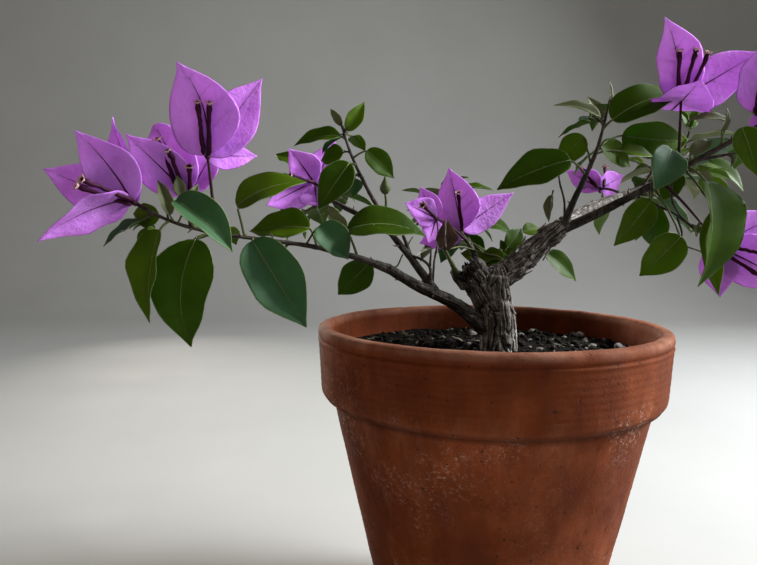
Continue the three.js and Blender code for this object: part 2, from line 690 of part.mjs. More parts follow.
// Assembly: what stands already is cut out of each limb and bloom with its gap
const standing = [];

function stand(name, solid, grown, finish) {
  standing.push({ solid, grown });
  addPiece(name, solid, finish);
}

function cutClear(solid) {
  const near = standing.filter(({ grown }) => overlaps(solid, grown));
  return largestOf(near.reduce((left, { grown }) => left.subtract(grown), solid));
}

function boughLimb(line, curve, grow) {
  const rows = Math.round((curve.getLength() * line.leafy) / ROW_LENGTH);
  const sides = line.radii[0] > THICK_BOUGH ? BOUGH_SIDES.thick : BOUGH_SIDES.thin;
  return limb(curve, 0, line.leafy, taper(line, grow), sides, rows);
}

addPiece('pot', potSolid(), 'terracotta');
addPiece('soil', soilSolid(), 'soil');
stand('trunk', trunkSolid(), trunkSolid(GAP), 'bark');

const curves = {};
for (const [name, line] of Object.entries(LINES)) {
  curves[name] = curveThrough(line.points);
  const bough = cutClear(boughLimb(line, curves[name], 0));
  stand(`${name}_bough`, bough, boughLimb(line, curves[name], GAP), 'bark');
}

const solids = standing.map(({ solid }) => solid);

for (const [name, plan] of Object.entries(BLOOMS)) {
  const curve = curves[plan.line];
  const stem = stemSolid(LINES[plan.line], curve, GAP);
  const bloom = largestOf(cutClear(bloomSolid(plan, curve)).subtract(stem));
  solids.push(bloom);
  addPiece(name, bloom, 'bract');
}

for (const [name, line] of Object.entries(LINES)) {
  if (line.leafy < 1) {
    const leaves = spray(name, line, curves[name], solids);
    solids.push(leaves);
    addPiece(`${name}_spray`, leaves, 'leaf');
  }
}

export default plant;
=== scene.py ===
import json
import math

import bpy
import numpy as np
from mathutils import Matrix, Vector
from mathutils.bvhtree import BVHTree
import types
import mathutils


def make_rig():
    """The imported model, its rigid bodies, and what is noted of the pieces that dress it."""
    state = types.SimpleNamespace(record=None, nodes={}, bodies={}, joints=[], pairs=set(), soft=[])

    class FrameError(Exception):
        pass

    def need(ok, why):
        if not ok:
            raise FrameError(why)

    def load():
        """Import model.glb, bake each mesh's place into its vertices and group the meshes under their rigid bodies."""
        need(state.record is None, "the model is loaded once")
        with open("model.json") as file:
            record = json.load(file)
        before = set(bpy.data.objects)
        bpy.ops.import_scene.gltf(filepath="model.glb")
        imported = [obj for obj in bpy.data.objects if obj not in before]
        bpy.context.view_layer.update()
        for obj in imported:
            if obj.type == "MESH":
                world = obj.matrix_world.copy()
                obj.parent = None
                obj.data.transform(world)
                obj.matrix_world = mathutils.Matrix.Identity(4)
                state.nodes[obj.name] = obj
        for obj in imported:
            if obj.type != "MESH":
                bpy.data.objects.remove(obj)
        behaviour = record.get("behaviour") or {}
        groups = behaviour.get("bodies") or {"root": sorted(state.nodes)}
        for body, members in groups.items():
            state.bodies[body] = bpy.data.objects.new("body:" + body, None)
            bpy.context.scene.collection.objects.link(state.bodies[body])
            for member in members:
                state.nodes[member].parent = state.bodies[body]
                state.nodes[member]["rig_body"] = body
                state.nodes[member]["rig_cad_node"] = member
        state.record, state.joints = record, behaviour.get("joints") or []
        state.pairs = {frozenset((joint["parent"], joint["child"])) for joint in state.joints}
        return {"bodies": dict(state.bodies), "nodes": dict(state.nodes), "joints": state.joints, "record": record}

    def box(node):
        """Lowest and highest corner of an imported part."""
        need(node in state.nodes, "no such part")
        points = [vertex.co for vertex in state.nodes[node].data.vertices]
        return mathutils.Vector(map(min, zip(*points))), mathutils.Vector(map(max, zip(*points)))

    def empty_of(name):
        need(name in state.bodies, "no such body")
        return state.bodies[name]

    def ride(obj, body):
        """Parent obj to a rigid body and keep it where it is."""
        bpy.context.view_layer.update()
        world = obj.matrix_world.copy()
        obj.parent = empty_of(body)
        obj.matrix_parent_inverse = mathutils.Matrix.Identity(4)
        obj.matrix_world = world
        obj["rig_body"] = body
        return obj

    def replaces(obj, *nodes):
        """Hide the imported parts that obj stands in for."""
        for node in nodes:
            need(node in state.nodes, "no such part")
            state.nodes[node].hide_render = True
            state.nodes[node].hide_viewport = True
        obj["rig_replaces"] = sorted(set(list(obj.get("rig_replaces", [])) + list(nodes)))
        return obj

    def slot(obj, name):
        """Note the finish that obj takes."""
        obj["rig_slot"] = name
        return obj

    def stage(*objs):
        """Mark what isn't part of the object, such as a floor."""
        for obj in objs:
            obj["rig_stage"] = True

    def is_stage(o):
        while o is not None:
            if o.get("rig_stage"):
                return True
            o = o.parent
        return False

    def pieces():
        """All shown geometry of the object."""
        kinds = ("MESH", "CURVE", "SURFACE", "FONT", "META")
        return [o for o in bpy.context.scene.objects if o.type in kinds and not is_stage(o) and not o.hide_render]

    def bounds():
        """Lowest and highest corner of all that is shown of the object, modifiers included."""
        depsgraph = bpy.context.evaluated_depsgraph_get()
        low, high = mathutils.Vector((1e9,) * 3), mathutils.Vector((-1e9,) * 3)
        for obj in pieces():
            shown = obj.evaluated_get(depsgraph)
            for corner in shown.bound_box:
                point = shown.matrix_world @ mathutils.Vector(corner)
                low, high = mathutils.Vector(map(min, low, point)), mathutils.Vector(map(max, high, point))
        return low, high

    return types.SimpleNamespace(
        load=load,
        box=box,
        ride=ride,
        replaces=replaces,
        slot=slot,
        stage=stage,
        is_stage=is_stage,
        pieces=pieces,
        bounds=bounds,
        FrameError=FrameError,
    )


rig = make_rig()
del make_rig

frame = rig.load()
cad_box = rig.bounds()

MM = 0.001
UP = np.array([0.0, 0.0, 1.0])
FRONT = np.array([0.0, -1.0, 0.0])

# The photograph's camera
IMAGE_WIDTH = 757
FOCAL_PIXELS = 700
SENSOR = 36.0
CAMERA_PLACE = (-58.6, -364.5, 209.6)
CAMERA_PITCH = math.radians(-4.46)
CAMERA_ROLL = math.radians(0.35)

# Sizes that the frame gives
POT_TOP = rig.box("pot")[1]
RIM_RADIUS = POT_TOP.x / MM
POT_HEIGHT = POT_TOP.z / MM
TRUNK_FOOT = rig.box("trunk")[0].z / MM

DRAW_FACTOR, DRAW_LIMIT = 16807, 2147483647
LINE_DIVISIONS = 200


# Small tools: text tables, draws, vectors and noise

def number(word):
    """A word of a table as a whole number or a fraction where it is one."""
    for kind in (int, float):
        try:
            return kind(word)
        except ValueError:
            continue
    return word


def table(text):
    """Rows of numbers and words, each ending with a dict of its settings, which have an = sign.
    A line that starts with a space goes on with the row before it."""
    rows = []
    for line in text.strip().replace("\n ", " ").splitlines():
        plain = [number(word) for word in line.split() if "=" not in word]
        pairs = (word.split("=") for word in line.split() if "=" in word)
        rows.append([*plain, {key: number(value) for key, value in pairs}])
    return rows


def make_draws(seed):
    """The source's generator: the same draws for the same seed."""
    state = seed

    def draw():
        nonlocal state
        state = (state * DRAW_FACTOR) % DRAW_LIMIT
        return state / DRAW_LIMIT

    return draw


def spread(draw, size):
    return (draw() - 0.5) * 2 * size


def unit(v):
    return v / np.linalg.norm(v, axis=-1, keepdims=True)


def square_to(v, way):
    """The direction nearest to v that is square to a way."""
    return unit(v - way * np.dot(v, way))


def around(side, over, angle):
    """The direction at an angle from side towards over."""
    return side * math.cos(angle) + over * math.sin(angle)


def angles_of(sides):
    return np.arange(sides) * 2 * math.pi / sides


def smooth_step(low, high, value):
    t = np.clip((value - low) / (high - low), 0, 1)
    return t * t * (3 - 2 * t)


def lattice(cell, seed):
    """A number from -1 to 1 for each whole-number cell."""
    x, y, z = cell[..., 0], cell[..., 1], cell[..., 2]
    h = (x * 374761393 + y * 668265263 + z * 982451653 + seed * 144269504) & 0xFFFFFFFF
    h = ((h ^ (h >> 13)) * 1274126177) & 0xFFFFFFFF
    h = ((h ^ (h >> 16)) * 2246822519) & 0xFFFFFFFF
    return (h ^ (h >> 15)) / 0x7FFFFFFF - 1.0


def noise(points, seed):
    """Smooth value noise from -1 to 1."""
    points = np.asarray(points, float)
    cell = np.floor(points).astype(np.int64)
    w = points - cell
    w = w * w * (3 - 2 * w)
    total = np.zeros(points.shape[:-1])
    for corner in np.ndindex(2, 2, 2):
        share = np.prod(np.where(corner, w, 1 - w), axis=-1)
        total += share * lattice(cell + np.array(corner), seed)
    return total


def fractal(points, seed, octaves=3, ridges=False):
    """Noise in ever finer layers, from -1 to 1, or with narrow ridges from 0 to 1."""
    total = 0.0
    for k in range(octaves):
        layer = noise(points * 2.0 ** k, seed + k)
        total = total + 0.5 ** k * (1 - np.abs(layer) if ridges else layer)
    return total / (2 - 0.5 ** (octaves - 1))


class Line:
    """A centripetal spline through points, read by shares of its arc length."""

    def __init__(self, points):
        self.points = np.array(points, float)
        self.steps = np.linspace(0, 1, LINE_DIVISIONS + 1)
        hops = np.linalg.norm(np.diff(self.raw(self.steps), axis=0), axis=1)
        self.lengths = np.concatenate([[0], np.cumsum(hops)])
        self.length = self.lengths[-1]

    def raw(self, t):
        p = self.points
        last = len(p) - 1
        place = np.clip(np.asarray(t, float), 0, 1) * last
        i = np.minimum(place.astype(int), last - 1)
        w = (place - i)[..., None]
        padded = np.vstack([2 * p[0] - p[1], p, 2 * p[-1] - p[-2]])
        p0, p1, p2, p3 = (padded[i + k] for k in range(4))
        gaps = ((p0, p1), (p1, p2), (p2, p3))
        d0, d1, d2 = (np.sqrt(np.linalg.norm(b - a, axis=-1))[..., None] for a, b in gaps)
        m1 = ((p1 - p0) / d0 - (p2 - p0) / (d0 + d1) + (p2 - p1) / d1) * d1
        m2 = ((p2 - p1) / d1 - (p3 - p1) / (d1 + d2) + (p3 - p2) / d2) * d1
        return p1 + m1 * w + (3 * (p2 - p1) - 2 * m1 - m2) * w ** 2 + (2 * (p1 - p2) + m1 + m2) * w ** 3

    def share_to_t(self, share):
        return np.interp(np.asarray(share, float) * self.length, self.lengths, self.steps)

    def at(self, share):
        return self.raw(self.share_to_t(share))

    def way(self, share):
        t = self.share_to_t(share)
        return unit(self.raw(t + 1e-4) - self.raw(t - 1e-4))


def frames_along(points):
    """Two directions across a row of points that turn as little as they can."""
    ways = unit(np.gradient(points, axis=0))
    sides = [unit(np.cross(ways[0], UP if abs(ways[0][2]) < 0.9 else FRONT))]
    for way in ways[1:]:
        sides.append(square_to(sides[-1], way))
    sides = np.array(sides)
    return ways, sides, np.cross(ways, sides)


# Camera, objects and joined meshes

def put(name, data):
    """A new object in the scene."""
    made = bpy.data.objects.new(name, data)
    bpy.context.scene.collection.objects.link(made)
    return made


def make_camera():
    """The photograph's camera, pitched down and rolled a little."""
    data = bpy.data.cameras.new("view")
    data.sensor_width = SENSOR
    data.lens = SENSOR * FOCAL_PIXELS / IMAGE_WIDTH
    data.clip_start = 0.01
    camera = put("view", data)
    ahead = np.array([0, math.cos(CAMERA_PITCH), math.sin(CAMERA_PITCH)])
    right = np.array([1.0, 0.0, 0.0])
    up = np.cross(right, ahead)
    turn = np.column_stack([around(right, up, CAMERA_ROLL), around(up, -right, CAMERA_ROLL), -ahead])
    camera.matrix_world = Matrix.Translation(Vector(CAMERA_PLACE) * MM) @ Matrix(turn.tolist()).to_4x4()
    bpy.context.scene.camera = camera


make_camera()


class Piece:
    """One joined mesh: shapes are added in millimetres and built once at the end."""

    def __init__(self, name, material=None, slot=None):
        self.name, self.material, self.slot = name, material, slot
        self.points, self.quads, self.triangles, self.count = [], [], [], 0

    def add(self, shape):
        points, quads, triangles = shape
        self.points.append(points)
        for faces, store, sides in ((quads, self.quads, 4), (triangles, self.triangles, 3)):
            if len(faces):
                store.append(np.asarray(faces, np.int64).reshape(-1, sides) + self.count)
        self.count += len(points)

    def mesh(self):
        points = np.concatenate(self.points) * MM
        groups = [np.concatenate(store) for store in (self.quads, self.triangles) if store]
        loops = np.concatenate([g.ravel() for g in groups])
        sizes = np.concatenate([np.full(len(g), g.shape[1]) for g in groups])
        starts = np.concatenate([[0], np.cumsum(sizes)[:-1]])
        mesh = bpy.data.meshes.new(self.name)
        mesh.vertices.add(len(points))
        mesh.vertices.foreach_set("co", points.astype(np.float32).ravel())
        mesh.loops.add(len(loops))
        mesh.loops.foreach_set("vertex_index", loops.astype(np.int32))
        mesh.polygons.add(len(sizes))
        mesh.polygons.foreach_set("loop_start", starts.astype(np.int32))
        mesh.update(calc_edges=True)
        mesh.validate()
        smooth(mesh)
        return mesh

    def build(self, *nodes):
        dress(self.name, self.mesh(), self.material, self.slot, *nodes)


def smooth(mesh):
    mesh.polygons.foreach_set("use_smooth", np.ones(len(mesh.polygons), bool))


def dress(name, mesh, material, slot, *nodes):
    """A finished piece: its material, and what it rides on and stands for."""
    piece = put(name, mesh)
    mesh.materials.clear()
    mesh.materials.append(material)
    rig.ride(piece, "root")
    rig.slot(piece, slot)
    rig.replaces(piece, *nodes)


def evaluated(holder, name):
    """The mesh that an object's modifiers give. The object goes."""
    graph = bpy.context.evaluated_depsgraph_get()
    mesh = bpy.data.meshes.new_from_object(holder.evaluated_get(graph))
    mesh.name = name
    bpy.data.objects.remove(holder)
    return mesh


def grid_faces(rows, columns, closed=True):
    """Quads of a grid of points, its columns closed into a ring or left open."""
    i = np.arange(rows - 1)[:, None] * columns
    j = np.arange(columns if closed else columns - 1)[None, :]
    k = (j + 1) % columns
    return np.stack([i + j, i + k, i + columns + k, i + columns + j], -1).reshape(-1, 4)


def capped(rings, hubs):
    """A closed body of rings of points, with a hub at each end."""
    rows, columns = rings.shape[:2]
    hub = np.full(columns, rows * columns)
    first = np.arange(columns)
    last = first + (rows - 1) * columns
    caps = [np.column_stack([np.roll(first, -1), first, hub]),
            np.column_stack([last, np.roll(last, -1), hub + 1])]
    return np.vstack([rings.reshape(-1, 3), hubs]), grid_faces(rows, columns), np.vstack(caps)


def tube(points, radii, sides):
    """A closed tube along points. radii is a number for each point, or for each point and side."""
    points, radii = np.asarray(points, float), np.asarray(radii, float)
    ways, across, over = frames_along(points)
    angles = angles_of(sides)
    if radii.ndim == 1:
        radii = np.repeat(radii[:, None], sides, axis=1)
    out = across[:, None] * np.cos(angles)[None, :, None] + over[:, None] * np.sin(angles)[None, :, None]
    skin = points[:, None] + out * radii[:, :, None]
    return capped(skin, [points[0], points[-1] + ways[-1] * radii[-1].mean() * 0.5])


def turned(outline, columns):
    """Rings of points: an outline of radii and heights, turned round the axis."""
    angles = angles_of(columns)
    x, y = outline[:, :1] * np.cos(angles), outline[:, :1] * np.sin(angles)
    return np.stack([x, y, np.broadcast_to(outline[:, 1:], x.shape)], -1)


def bent(root, foot, rise, rows=7):
    """Points of a short stalk that rises a little between its ends."""
    middle = (root + foot) / 2 + UP * rise * np.linalg.norm(foot - root)
    t = np.linspace(0, 1, rows)[:, None]
    return root * (1 - t) ** 2 + middle * 2 * t * (1 - t) + foot * t ** 2


# Materials

class Paint:
    """A material in the making. Its even numbers sit on the shader itself."""

    def __init__(self, name, color, roughness, shine):
        self.material = bpy.data.materials.new(name)
        self.material.use_nodes = True
        self.tree = self.material.node_tree
        self.shader = self.tree.nodes["Principled BSDF"]
        even = {"Base Color": (*color, 1), "Roughness": roughness, "Specular IOR Level": shine}
        for socket, value in even.items():
            self.shader.inputs[socket].default_value = value
        self.spot = self.place(1)

    def node(self, kind, inputs, **settings):
        made = self.tree.nodes.new("ShaderNode" + kind)
        for key, value in settings.items():
            setattr(made, key, value)
        for key, value in inputs.items():
            socket = made.inputs[key]
            if isinstance(value, bpy.types.NodeSocket):
                self.tree.links.new(value, socket)
            else:
                socket.default_value = (*value, 1) if socket.type == "RGBA" else value
        return made

    def place(self, high):
        """Object coordinates, with a scale for the height."""
        spot = self.node("TexCoord", {}).outputs["Object"]
        return self.node("Mapping", {"Vector": spot, "Scale": (1, 1, high)}).outputs["Vector"]

    def noise(self, scale, detail=4.0, roughness=0.6, distortion=0.0, spot=None):
        inputs = {"Vector": self.spot if spot is None else spot, "Scale": scale, "Detail": detail,
                  "Roughness": roughness, "Distortion": distortion}
        return self.node("TexNoise", inputs).outputs["Fac"]

    def ramp(self, fac, *stops):
        """A colour ramp. A stop is a place and a colour, or a place and a grey number."""
        made = self.node("ValToRGB", {"Fac": fac})
        band = made.color_ramp
        while len(band.elements) < len(stops):
            band.elements.new(0.5)
        for element, (place, color) in zip(band.elements, stops):
            element.position = place
            element.color = (*color, 1) if isinstance(color, tuple) else (color, color, color, 1)
        return made.outputs["Color"]

    def mix(self, fac, a, b, blend="MIX"):
        return self.node("Mix", {0: fac, 6: a, 7: b}, data_type="RGBA", blend_type=blend).outputs[2]

    def shade(self, tone, by):
        return self.mix(1.0, tone, by, "MULTIPLY")

    def math(self, operation, *numbers):
        return self.node("Math", dict(enumerate(numbers)), operation=operation).outputs[0]

    def vector(self, operation, a, b):
        return self.node("VectorMath", {0: a, 1: b}, operation=operation).outputs["Value"]

    def finish(self, tone, gloss, height, strength, depth):
        """Puts colour, roughness and fine relief on the shader."""
        made = self.node("Bump", {"Height": height, "Strength": strength, "Distance": depth * MM})
        sockets = {"Base Color": tone, "Roughness": gloss, "Normal": made.outputs["Normal"]}
        for socket, value in sockets.items():
            self.tree.links.new(value, self.shader.inputs[socket])
        return self.material

    def glow(self, color, share):
        """Makes the surface thin: a share of it glows with the light behind it."""
        through = self.node("BsdfTranslucent", {"Color": color}).outputs[0]
        both = self.node("MixShader", {0: share, 1: self.shader.outputs[0], 2: through})
        self.tree.links.new(both.outputs[0], self.tree.nodes["Material Output"].inputs["Surface"])


def mottled(name, dark, light, roughness, scale, grain, relief, shine=0.5, glow=None, share=0.2):
    """A living surface: two close tones in blotches, uneven gloss and a fine grain."""
    paint = Paint(name, light, roughness, shine)
    tone = paint.ramp(paint.noise(scale), (0.3, dark), (0.7, light))
    gloss = paint.ramp(paint.noise(scale * 2.3), (0.3, roughness - 0.07), (0.7, roughness + 0.07))
    if glow:
        paint.glow(glow, share)
    return paint.finish(tone, gloss, paint.noise(grain, 3.0), 0.6, relief)


# One tone, the teal one, is a painted reflection: its base colour stands for the sky reflected on the leaves' upper
# sides
LEAF_TONES = {tone: mottled(f"leaf_{tone}", dark, light, roughness, 60, 800, 0.12, shine, glow)
              for tone, dark, light, roughness, shine, glow in (
    ("deep", (0.024, 0.054, 0.0008), (0.044, 0.084, 0.0014), 0.52, 0.1, (0.2, 0.42, 0.006)),
    ("fresh", (0.042, 0.082, 0.001), (0.074, 0.122, 0.002), 0.52, 0.1, (0.3, 0.5, 0.008)),
    ("sheen", (0.026, 0.078, 0.024), (0.048, 0.122, 0.046), 0.6, 0.32, (0.12, 0.36, 0.03)),
    ("young", (0.08, 0.09, 0.035), (0.17, 0.18, 0.09), 0.6, 0.2, (0.3, 0.34, 0.1)))}
RIB = mottled("leaf_rib", (0.085, 0.13, 0.035), (0.19, 0.25, 0.09), 0.5, 80, 700, 0.08, 0.2)
BRACT = mottled("bract_skin", (0.54, 0.19, 0.68), (0.74, 0.33, 0.89), 0.6, 60, 380, 1.1, 0.12,
                (0.82, 0.4, 0.93), 0.36)
BRACT_RIB = mottled("bract_rib", (0.045, 0.002, 0.035), (0.085, 0.005, 0.07), 0.7, 60, 500, 0.05, 0.1)
BRACT_VEIN = mottled("bract_vein", (0.26, 0.06, 0.33), (0.36, 0.11, 0.45), 0.7, 60, 500, 0.05, 0.1)
TUBE_SKIN = mottled("flower_tube", (0.018, 0.001, 0.008), (0.05, 0.004, 0.028), 0.6, 90, 800, 0.06, 0.12)
STAR = mottled("flower_star", (0.42, 0.17, 0.18), (0.7, 0.5, 0.42), 0.6, 150, 900, 0.08)
TWIG = mottled("twig_bark", (0.012, 0.008, 0.006), (0.07, 0.05, 0.04), 0.75, 240, 900, 0.3, 0.25)
SHOOT = mottled("green_shoot", (0.045, 0.06, 0.016), (0.10, 0.115, 0.036), 0.6, 120, 700, 0.12, 0.2)
BLOOM_STALK = mottled("bloom_stalk", (0.018, 0.004, 0.008), (0.045, 0.014, 0.016), 0.7, 120, 700, 0.15, 0.15)
DRY = mottled("dry_bract", (0.05, 0.022, 0.02), (0.15, 0.085, 0.06), 0.75, 110, 500, 0.3)
EARTH = mottled("earth", (0.002, 0.0014, 0.001), (0.008, 0.0056, 0.004), 0.95, 240, 1300, 0.6, 0.06)
CRUMB = mottled("earth_crumb", (0.003, 0.0022, 0.0016), (0.014, 0.0102, 0.0074), 0.95, 160, 1500, 0.4, 0.15)
PALE_STONE = mottled("pale_stone", (0.06, 0.055, 0.05), (0.22, 0.2, 0.18), 0.85, 120, 1200, 0.3)
FLAKE = mottled("grey_flake", (0.05, 0.045, 0.032), (0.24, 0.215, 0.155), 0.9, 150, 1400, 0.35, 0.2)
FIBRE = mottled("dry_fibre", (0.02, 0.016, 0.009), (0.11, 0.09, 0.055), 0.9, 140, 1200, 0.2, 0.2)
FLOOR_PAINT = mottled("floor_paint", (0.40, 0.39, 0.375), (0.43, 0.42, 0.405), 0.85, 4, 90, 0.2)


# Blades: leaves and bracts share one surface, which their ribs follow

BLADE_ROWS = 16
BLADE_COLUMNS = np.array([-1, -0.93, -0.68, -0.34, 0, 0.34, 0.68, 0.93, 1.0])
BLADE_KEYS = ("rise", "fall", "drip", "thick", "ribs", "lean", "bend", "uneven", "quilt")
LEAF_FORM, BRACT_FORM, STAR_FORM, STRIP_FORM = (dict(zip(BLADE_KEYS, numbers)) for numbers in (
    (0.52, 0.85, 0.75, 0.3, 6, 0.34, 0.45, 0.06, 0.012), (0.6, 0.95, 0.65, 0.24, 5, 0.5, -0.5, 0.035, 0.026),
    (0.5, 0.8, 0, 0.22, 2, 0.2, 0, 0, 0.012), (0.35, 0.5, 0, 0.6, 3, 0.2, 0, 0.2, 0.012)))
FLAT = {"fold": 0.2, "twist": 0.0, "bow": 0.0, "ripple": 0.0, "phase": 0.0, "curl": 0.0}
NUDGE, NEAR_END = 2e-3, 0.001


class Blade:
    """A surface over u from foot to tip and v from edge to edge.

    rise, fall and drip draw its outline and uneven nicks it. bend curves the midrib away from
    the face, fold lifts both halves, twist turns the blade about its midrib, bow curves it
    sideways, ripple waves its edges, curl bends its tip and quilt puffs it between its ribs.
    The heading is that of a blade with the form's own bend: another bend keeps the tip's way.
    """

    def __init__(self, foot, heading, facing, length, width, form, **changes):
        self.foot, self.length, self.width = foot, length, width
        vars(self).update({**FLAT, **form, **changes})
        lift = (self.bend - form["bend"]) / 2
        self.heading = around(heading, facing, lift)
        self.facing = around(facing, -heading, lift)
        self.across = np.cross(self.heading, self.facing)

    def outline(self, u):
        """Round at the foot, drawn out to a point at the tip."""
        return u ** self.rise * (1 - u) ** self.fall * (1 - self.drip * u ** 6)

    def half(self, u):
        return self.width / 2 * self.outline(np.clip(u, 0, 1)) / self.outline(np.linspace(0, 1, 41)).max()

    def sway(self, count, apart, u, v):
        """A wave along the blade that differs on its two halves."""
        return np.sin(2 * math.pi * count * u + self.phase + apart * np.sign(v))

    def at(self, u, v):
        u, v = np.broadcast_arrays(np.asarray(u, float), np.asarray(v, float))
        angle = self.bend * u + self.curl * u ** 4
        inner = self.bend * u / 2 + self.curl * u ** 4 / 5
        side = self.bow * self.length * 4 * u * (1 - u)
        half = self.half(u) * (1 + self.uneven * (self.sway(1.7, 2.6, u, v) * np.sin(math.pi * u)))
        lift = np.sqrt(v * v + 0.01) - 0.1
        wave = self.ripple * v * v * self.sway(2.4, 1.9, u, v)
        cell = self.ribs * (u - self.lean * np.abs(v) * (1 - u))
        puff = self.quilt * np.abs(np.sin(math.pi * cell)) * (1 - v * v) * np.minimum(np.abs(v) * 4, 1)
        wide = v * half * math.cos(self.fold)
        high = half * (lift * math.sin(self.fold) + wave) + self.width * puff
        turn = self.twist * u
        aside = wide * np.cos(turn) - high * np.sin(turn) + side
        high = wide * np.sin(turn) + high * np.cos(turn)
        along = self.length * u * np.cos(inner) + high * np.sin(angle)
        back = -self.length * u * np.sin(inner) + high * np.cos(angle)
        return (self.foot + along[..., None] * self.heading + back[..., None] * self.facing
                + aside[..., None] * self.across)

    def normal(self, u, v):
        du = self.at(np.minimum(u + NUDGE, 1 - NEAR_END), v) - self.at(np.maximum(u - NUDGE, NEAR_END), v)
        return unit(np.cross(self.at(u, v + NUDGE) - self.at(u, v - NUDGE), du))

    def skin(self):
        """A closed lens: two skins that meet along the edge."""
        u = 0.5 - 0.5 * np.cos(np.linspace(0, math.pi, BLADE_ROWS + 1))[1:-1]
        rows, wide = len(u), len(BLADE_COLUMNS)
        uu, vv = np.meshgrid(u, BLADE_COLUMNS, indexing="ij")
        spots, ways = self.at(uu, vv), self.normal(uu, vv) * (self.thick / 2)
        top, under = spots + ways, spots - ways
        top[:, [0, -1]] = spots[:, [0, -1]]
        ends = self.at(np.array([0.0, 1.0]), np.zeros(2))
        points = np.vstack([top.reshape(-1, 3), under[:, 1:-1].reshape(-1, 3), ends])
        upper = np.arange(rows * wide).reshape(rows, wide)
        lower = upper.copy()
        lower[:, 1:-1] = rows * wide + np.arange(rows * (wide - 2)).reshape(rows, wide - 2)
        cells = grid_faces(rows, wide, False)
        foot, tip = len(points) - 2, len(points) - 1
        triangles = []
        for skin, under in ((upper, False), (lower, True)):
            for row, hub, flip in ((skin[0], foot, under), (skin[-1], tip, not under)):
                pair = (row[:-1], row[1:]) if flip else (row[1:], row[:-1])
                triangles.append(np.column_stack([*pair, np.full(wide - 1, hub)]))
        quads = [upper.ravel()[cells], lower.ravel()[cells][:, ::-1]]
        return points, np.vstack(quads), np.vstack(triangles)

    def rib(self, u, v, radii, sides=4):
        return tube(self.at(u, v), radii, sides)

    def side_ribs(self, radius, reach=0.9, rows=6):
        """Pairs of side ribs that lean towards the tip."""
        for k in range(1, self.ribs):
            for hand in (-1, 1):
                v = np.linspace(0, reach, rows)
                u = (k / self.ribs + self.lean * v) / (1 + self.lean * v)
                yield self.rib(u, hand * v, np.linspace(radius, radius * 0.45, rows), 3)

    def edge(self, radius, hand):
        u = np.linspace(0.02, 0.985, 14)
        return self.rib(u, np.full(14, hand * 0.985), np.full(14, radius), 3)


def heading_of(swing, lean):
    """A direction that swings from the right towards up, and leans towards the front."""
    s, l = math.radians(swing), math.radians(lean)
    return np.array([math.cos(s) * math.cos(l), -math.sin(l), math.sin(s) * math.cos(l)])


def facing_of(heading, turn):
    """As near the front as the heading lets it, then turned about the heading."""
    face = square_to(FRONT, heading)
    return around(face, np.cross(heading, face), math.radians(turn))


# Plant: the source's lines, leaves, twigs and blooms

class Limb(Line):
    """A limb's centre line, its radii at root and tip, how it thins between them, the share of
    it that is bough, and how rough its bark is."""

    def __init__(self, root, tip, thinning, leafy, relief, *spots):
        super().__init__(np.reshape(spots, (-1, 3)))
        self.root, self.tip, self.thinning, self.leafy, self.relief = root, tip, thinning, leafy, relief

    def radius(self, shares):
        """The higher the thinning is, the faster it thins at first."""
        return self.tip + (self.root - self.tip) * np.clip(1 - np.asarray(shares), 0, 1) ** self.thinning


# Limbs: root and tip radius, thinning, leafy share, relief and the centre line's points
LIMBS = {name: Limb(*numbers) for name, *numbers, _ in table("""
trunk 8.6 8.6 1 1 1.25  4 0 139.5  4 0 156  3 0 167  1 0 177  2 0 185
stump 7.6 7.6 1 1 1.3  1 0 168  -5 -1 178  -11 -2 186.5
left 4 .75 2.5 .36 .85  -2 -1 157  -19 -9 171  -39 -18 181  -57 -25 191  -86 -36 200  -112 -43 204
  -133 -50 207  -150 -56 212  -165 -60 220
left_upper 2 .6 1.2 .46 .5  -30 -14 178  -42 -13 194  -53 -11 208  -57 -10 216  -66 -8 232
  -73 -8 247  -78 -8 262
left_back 1.8 .7 1 .38 .2  -53 -11 208  -66 8 215  -80 28 222  -92 48 229  -99 68 236  -104 86 245
centre_back 2.4 .7 1 .4 .3  1 4 178  -3 22 189  -6 36 199  -9 52 210  -12 70 220  -13 86 229
right 6.5 4.5 1 1 1.15  2 0 182  14 2 191  26 4 202  38 5 211
right_long 2.5 .8 1.3 .34 .3  36 3 209  49 0 215  70 -9 227  89 -17 239  110 -25 252  129 -30 264
  146 -33 276
right_upright 2 .55 1.2 .4 .35  37 3 209  41 -1 222  46 -4 235  51 -7 249  54 -9 263  57 -9 277
right_back 3.8 .9 1.1 .42 .6  39 6 212  64 28 223  86 44 230  106 58 238  125 74 248  140 88 260
""")}
TRUNK, STUMP = LIMBS.pop("trunk"), LIMBS.pop("stump")
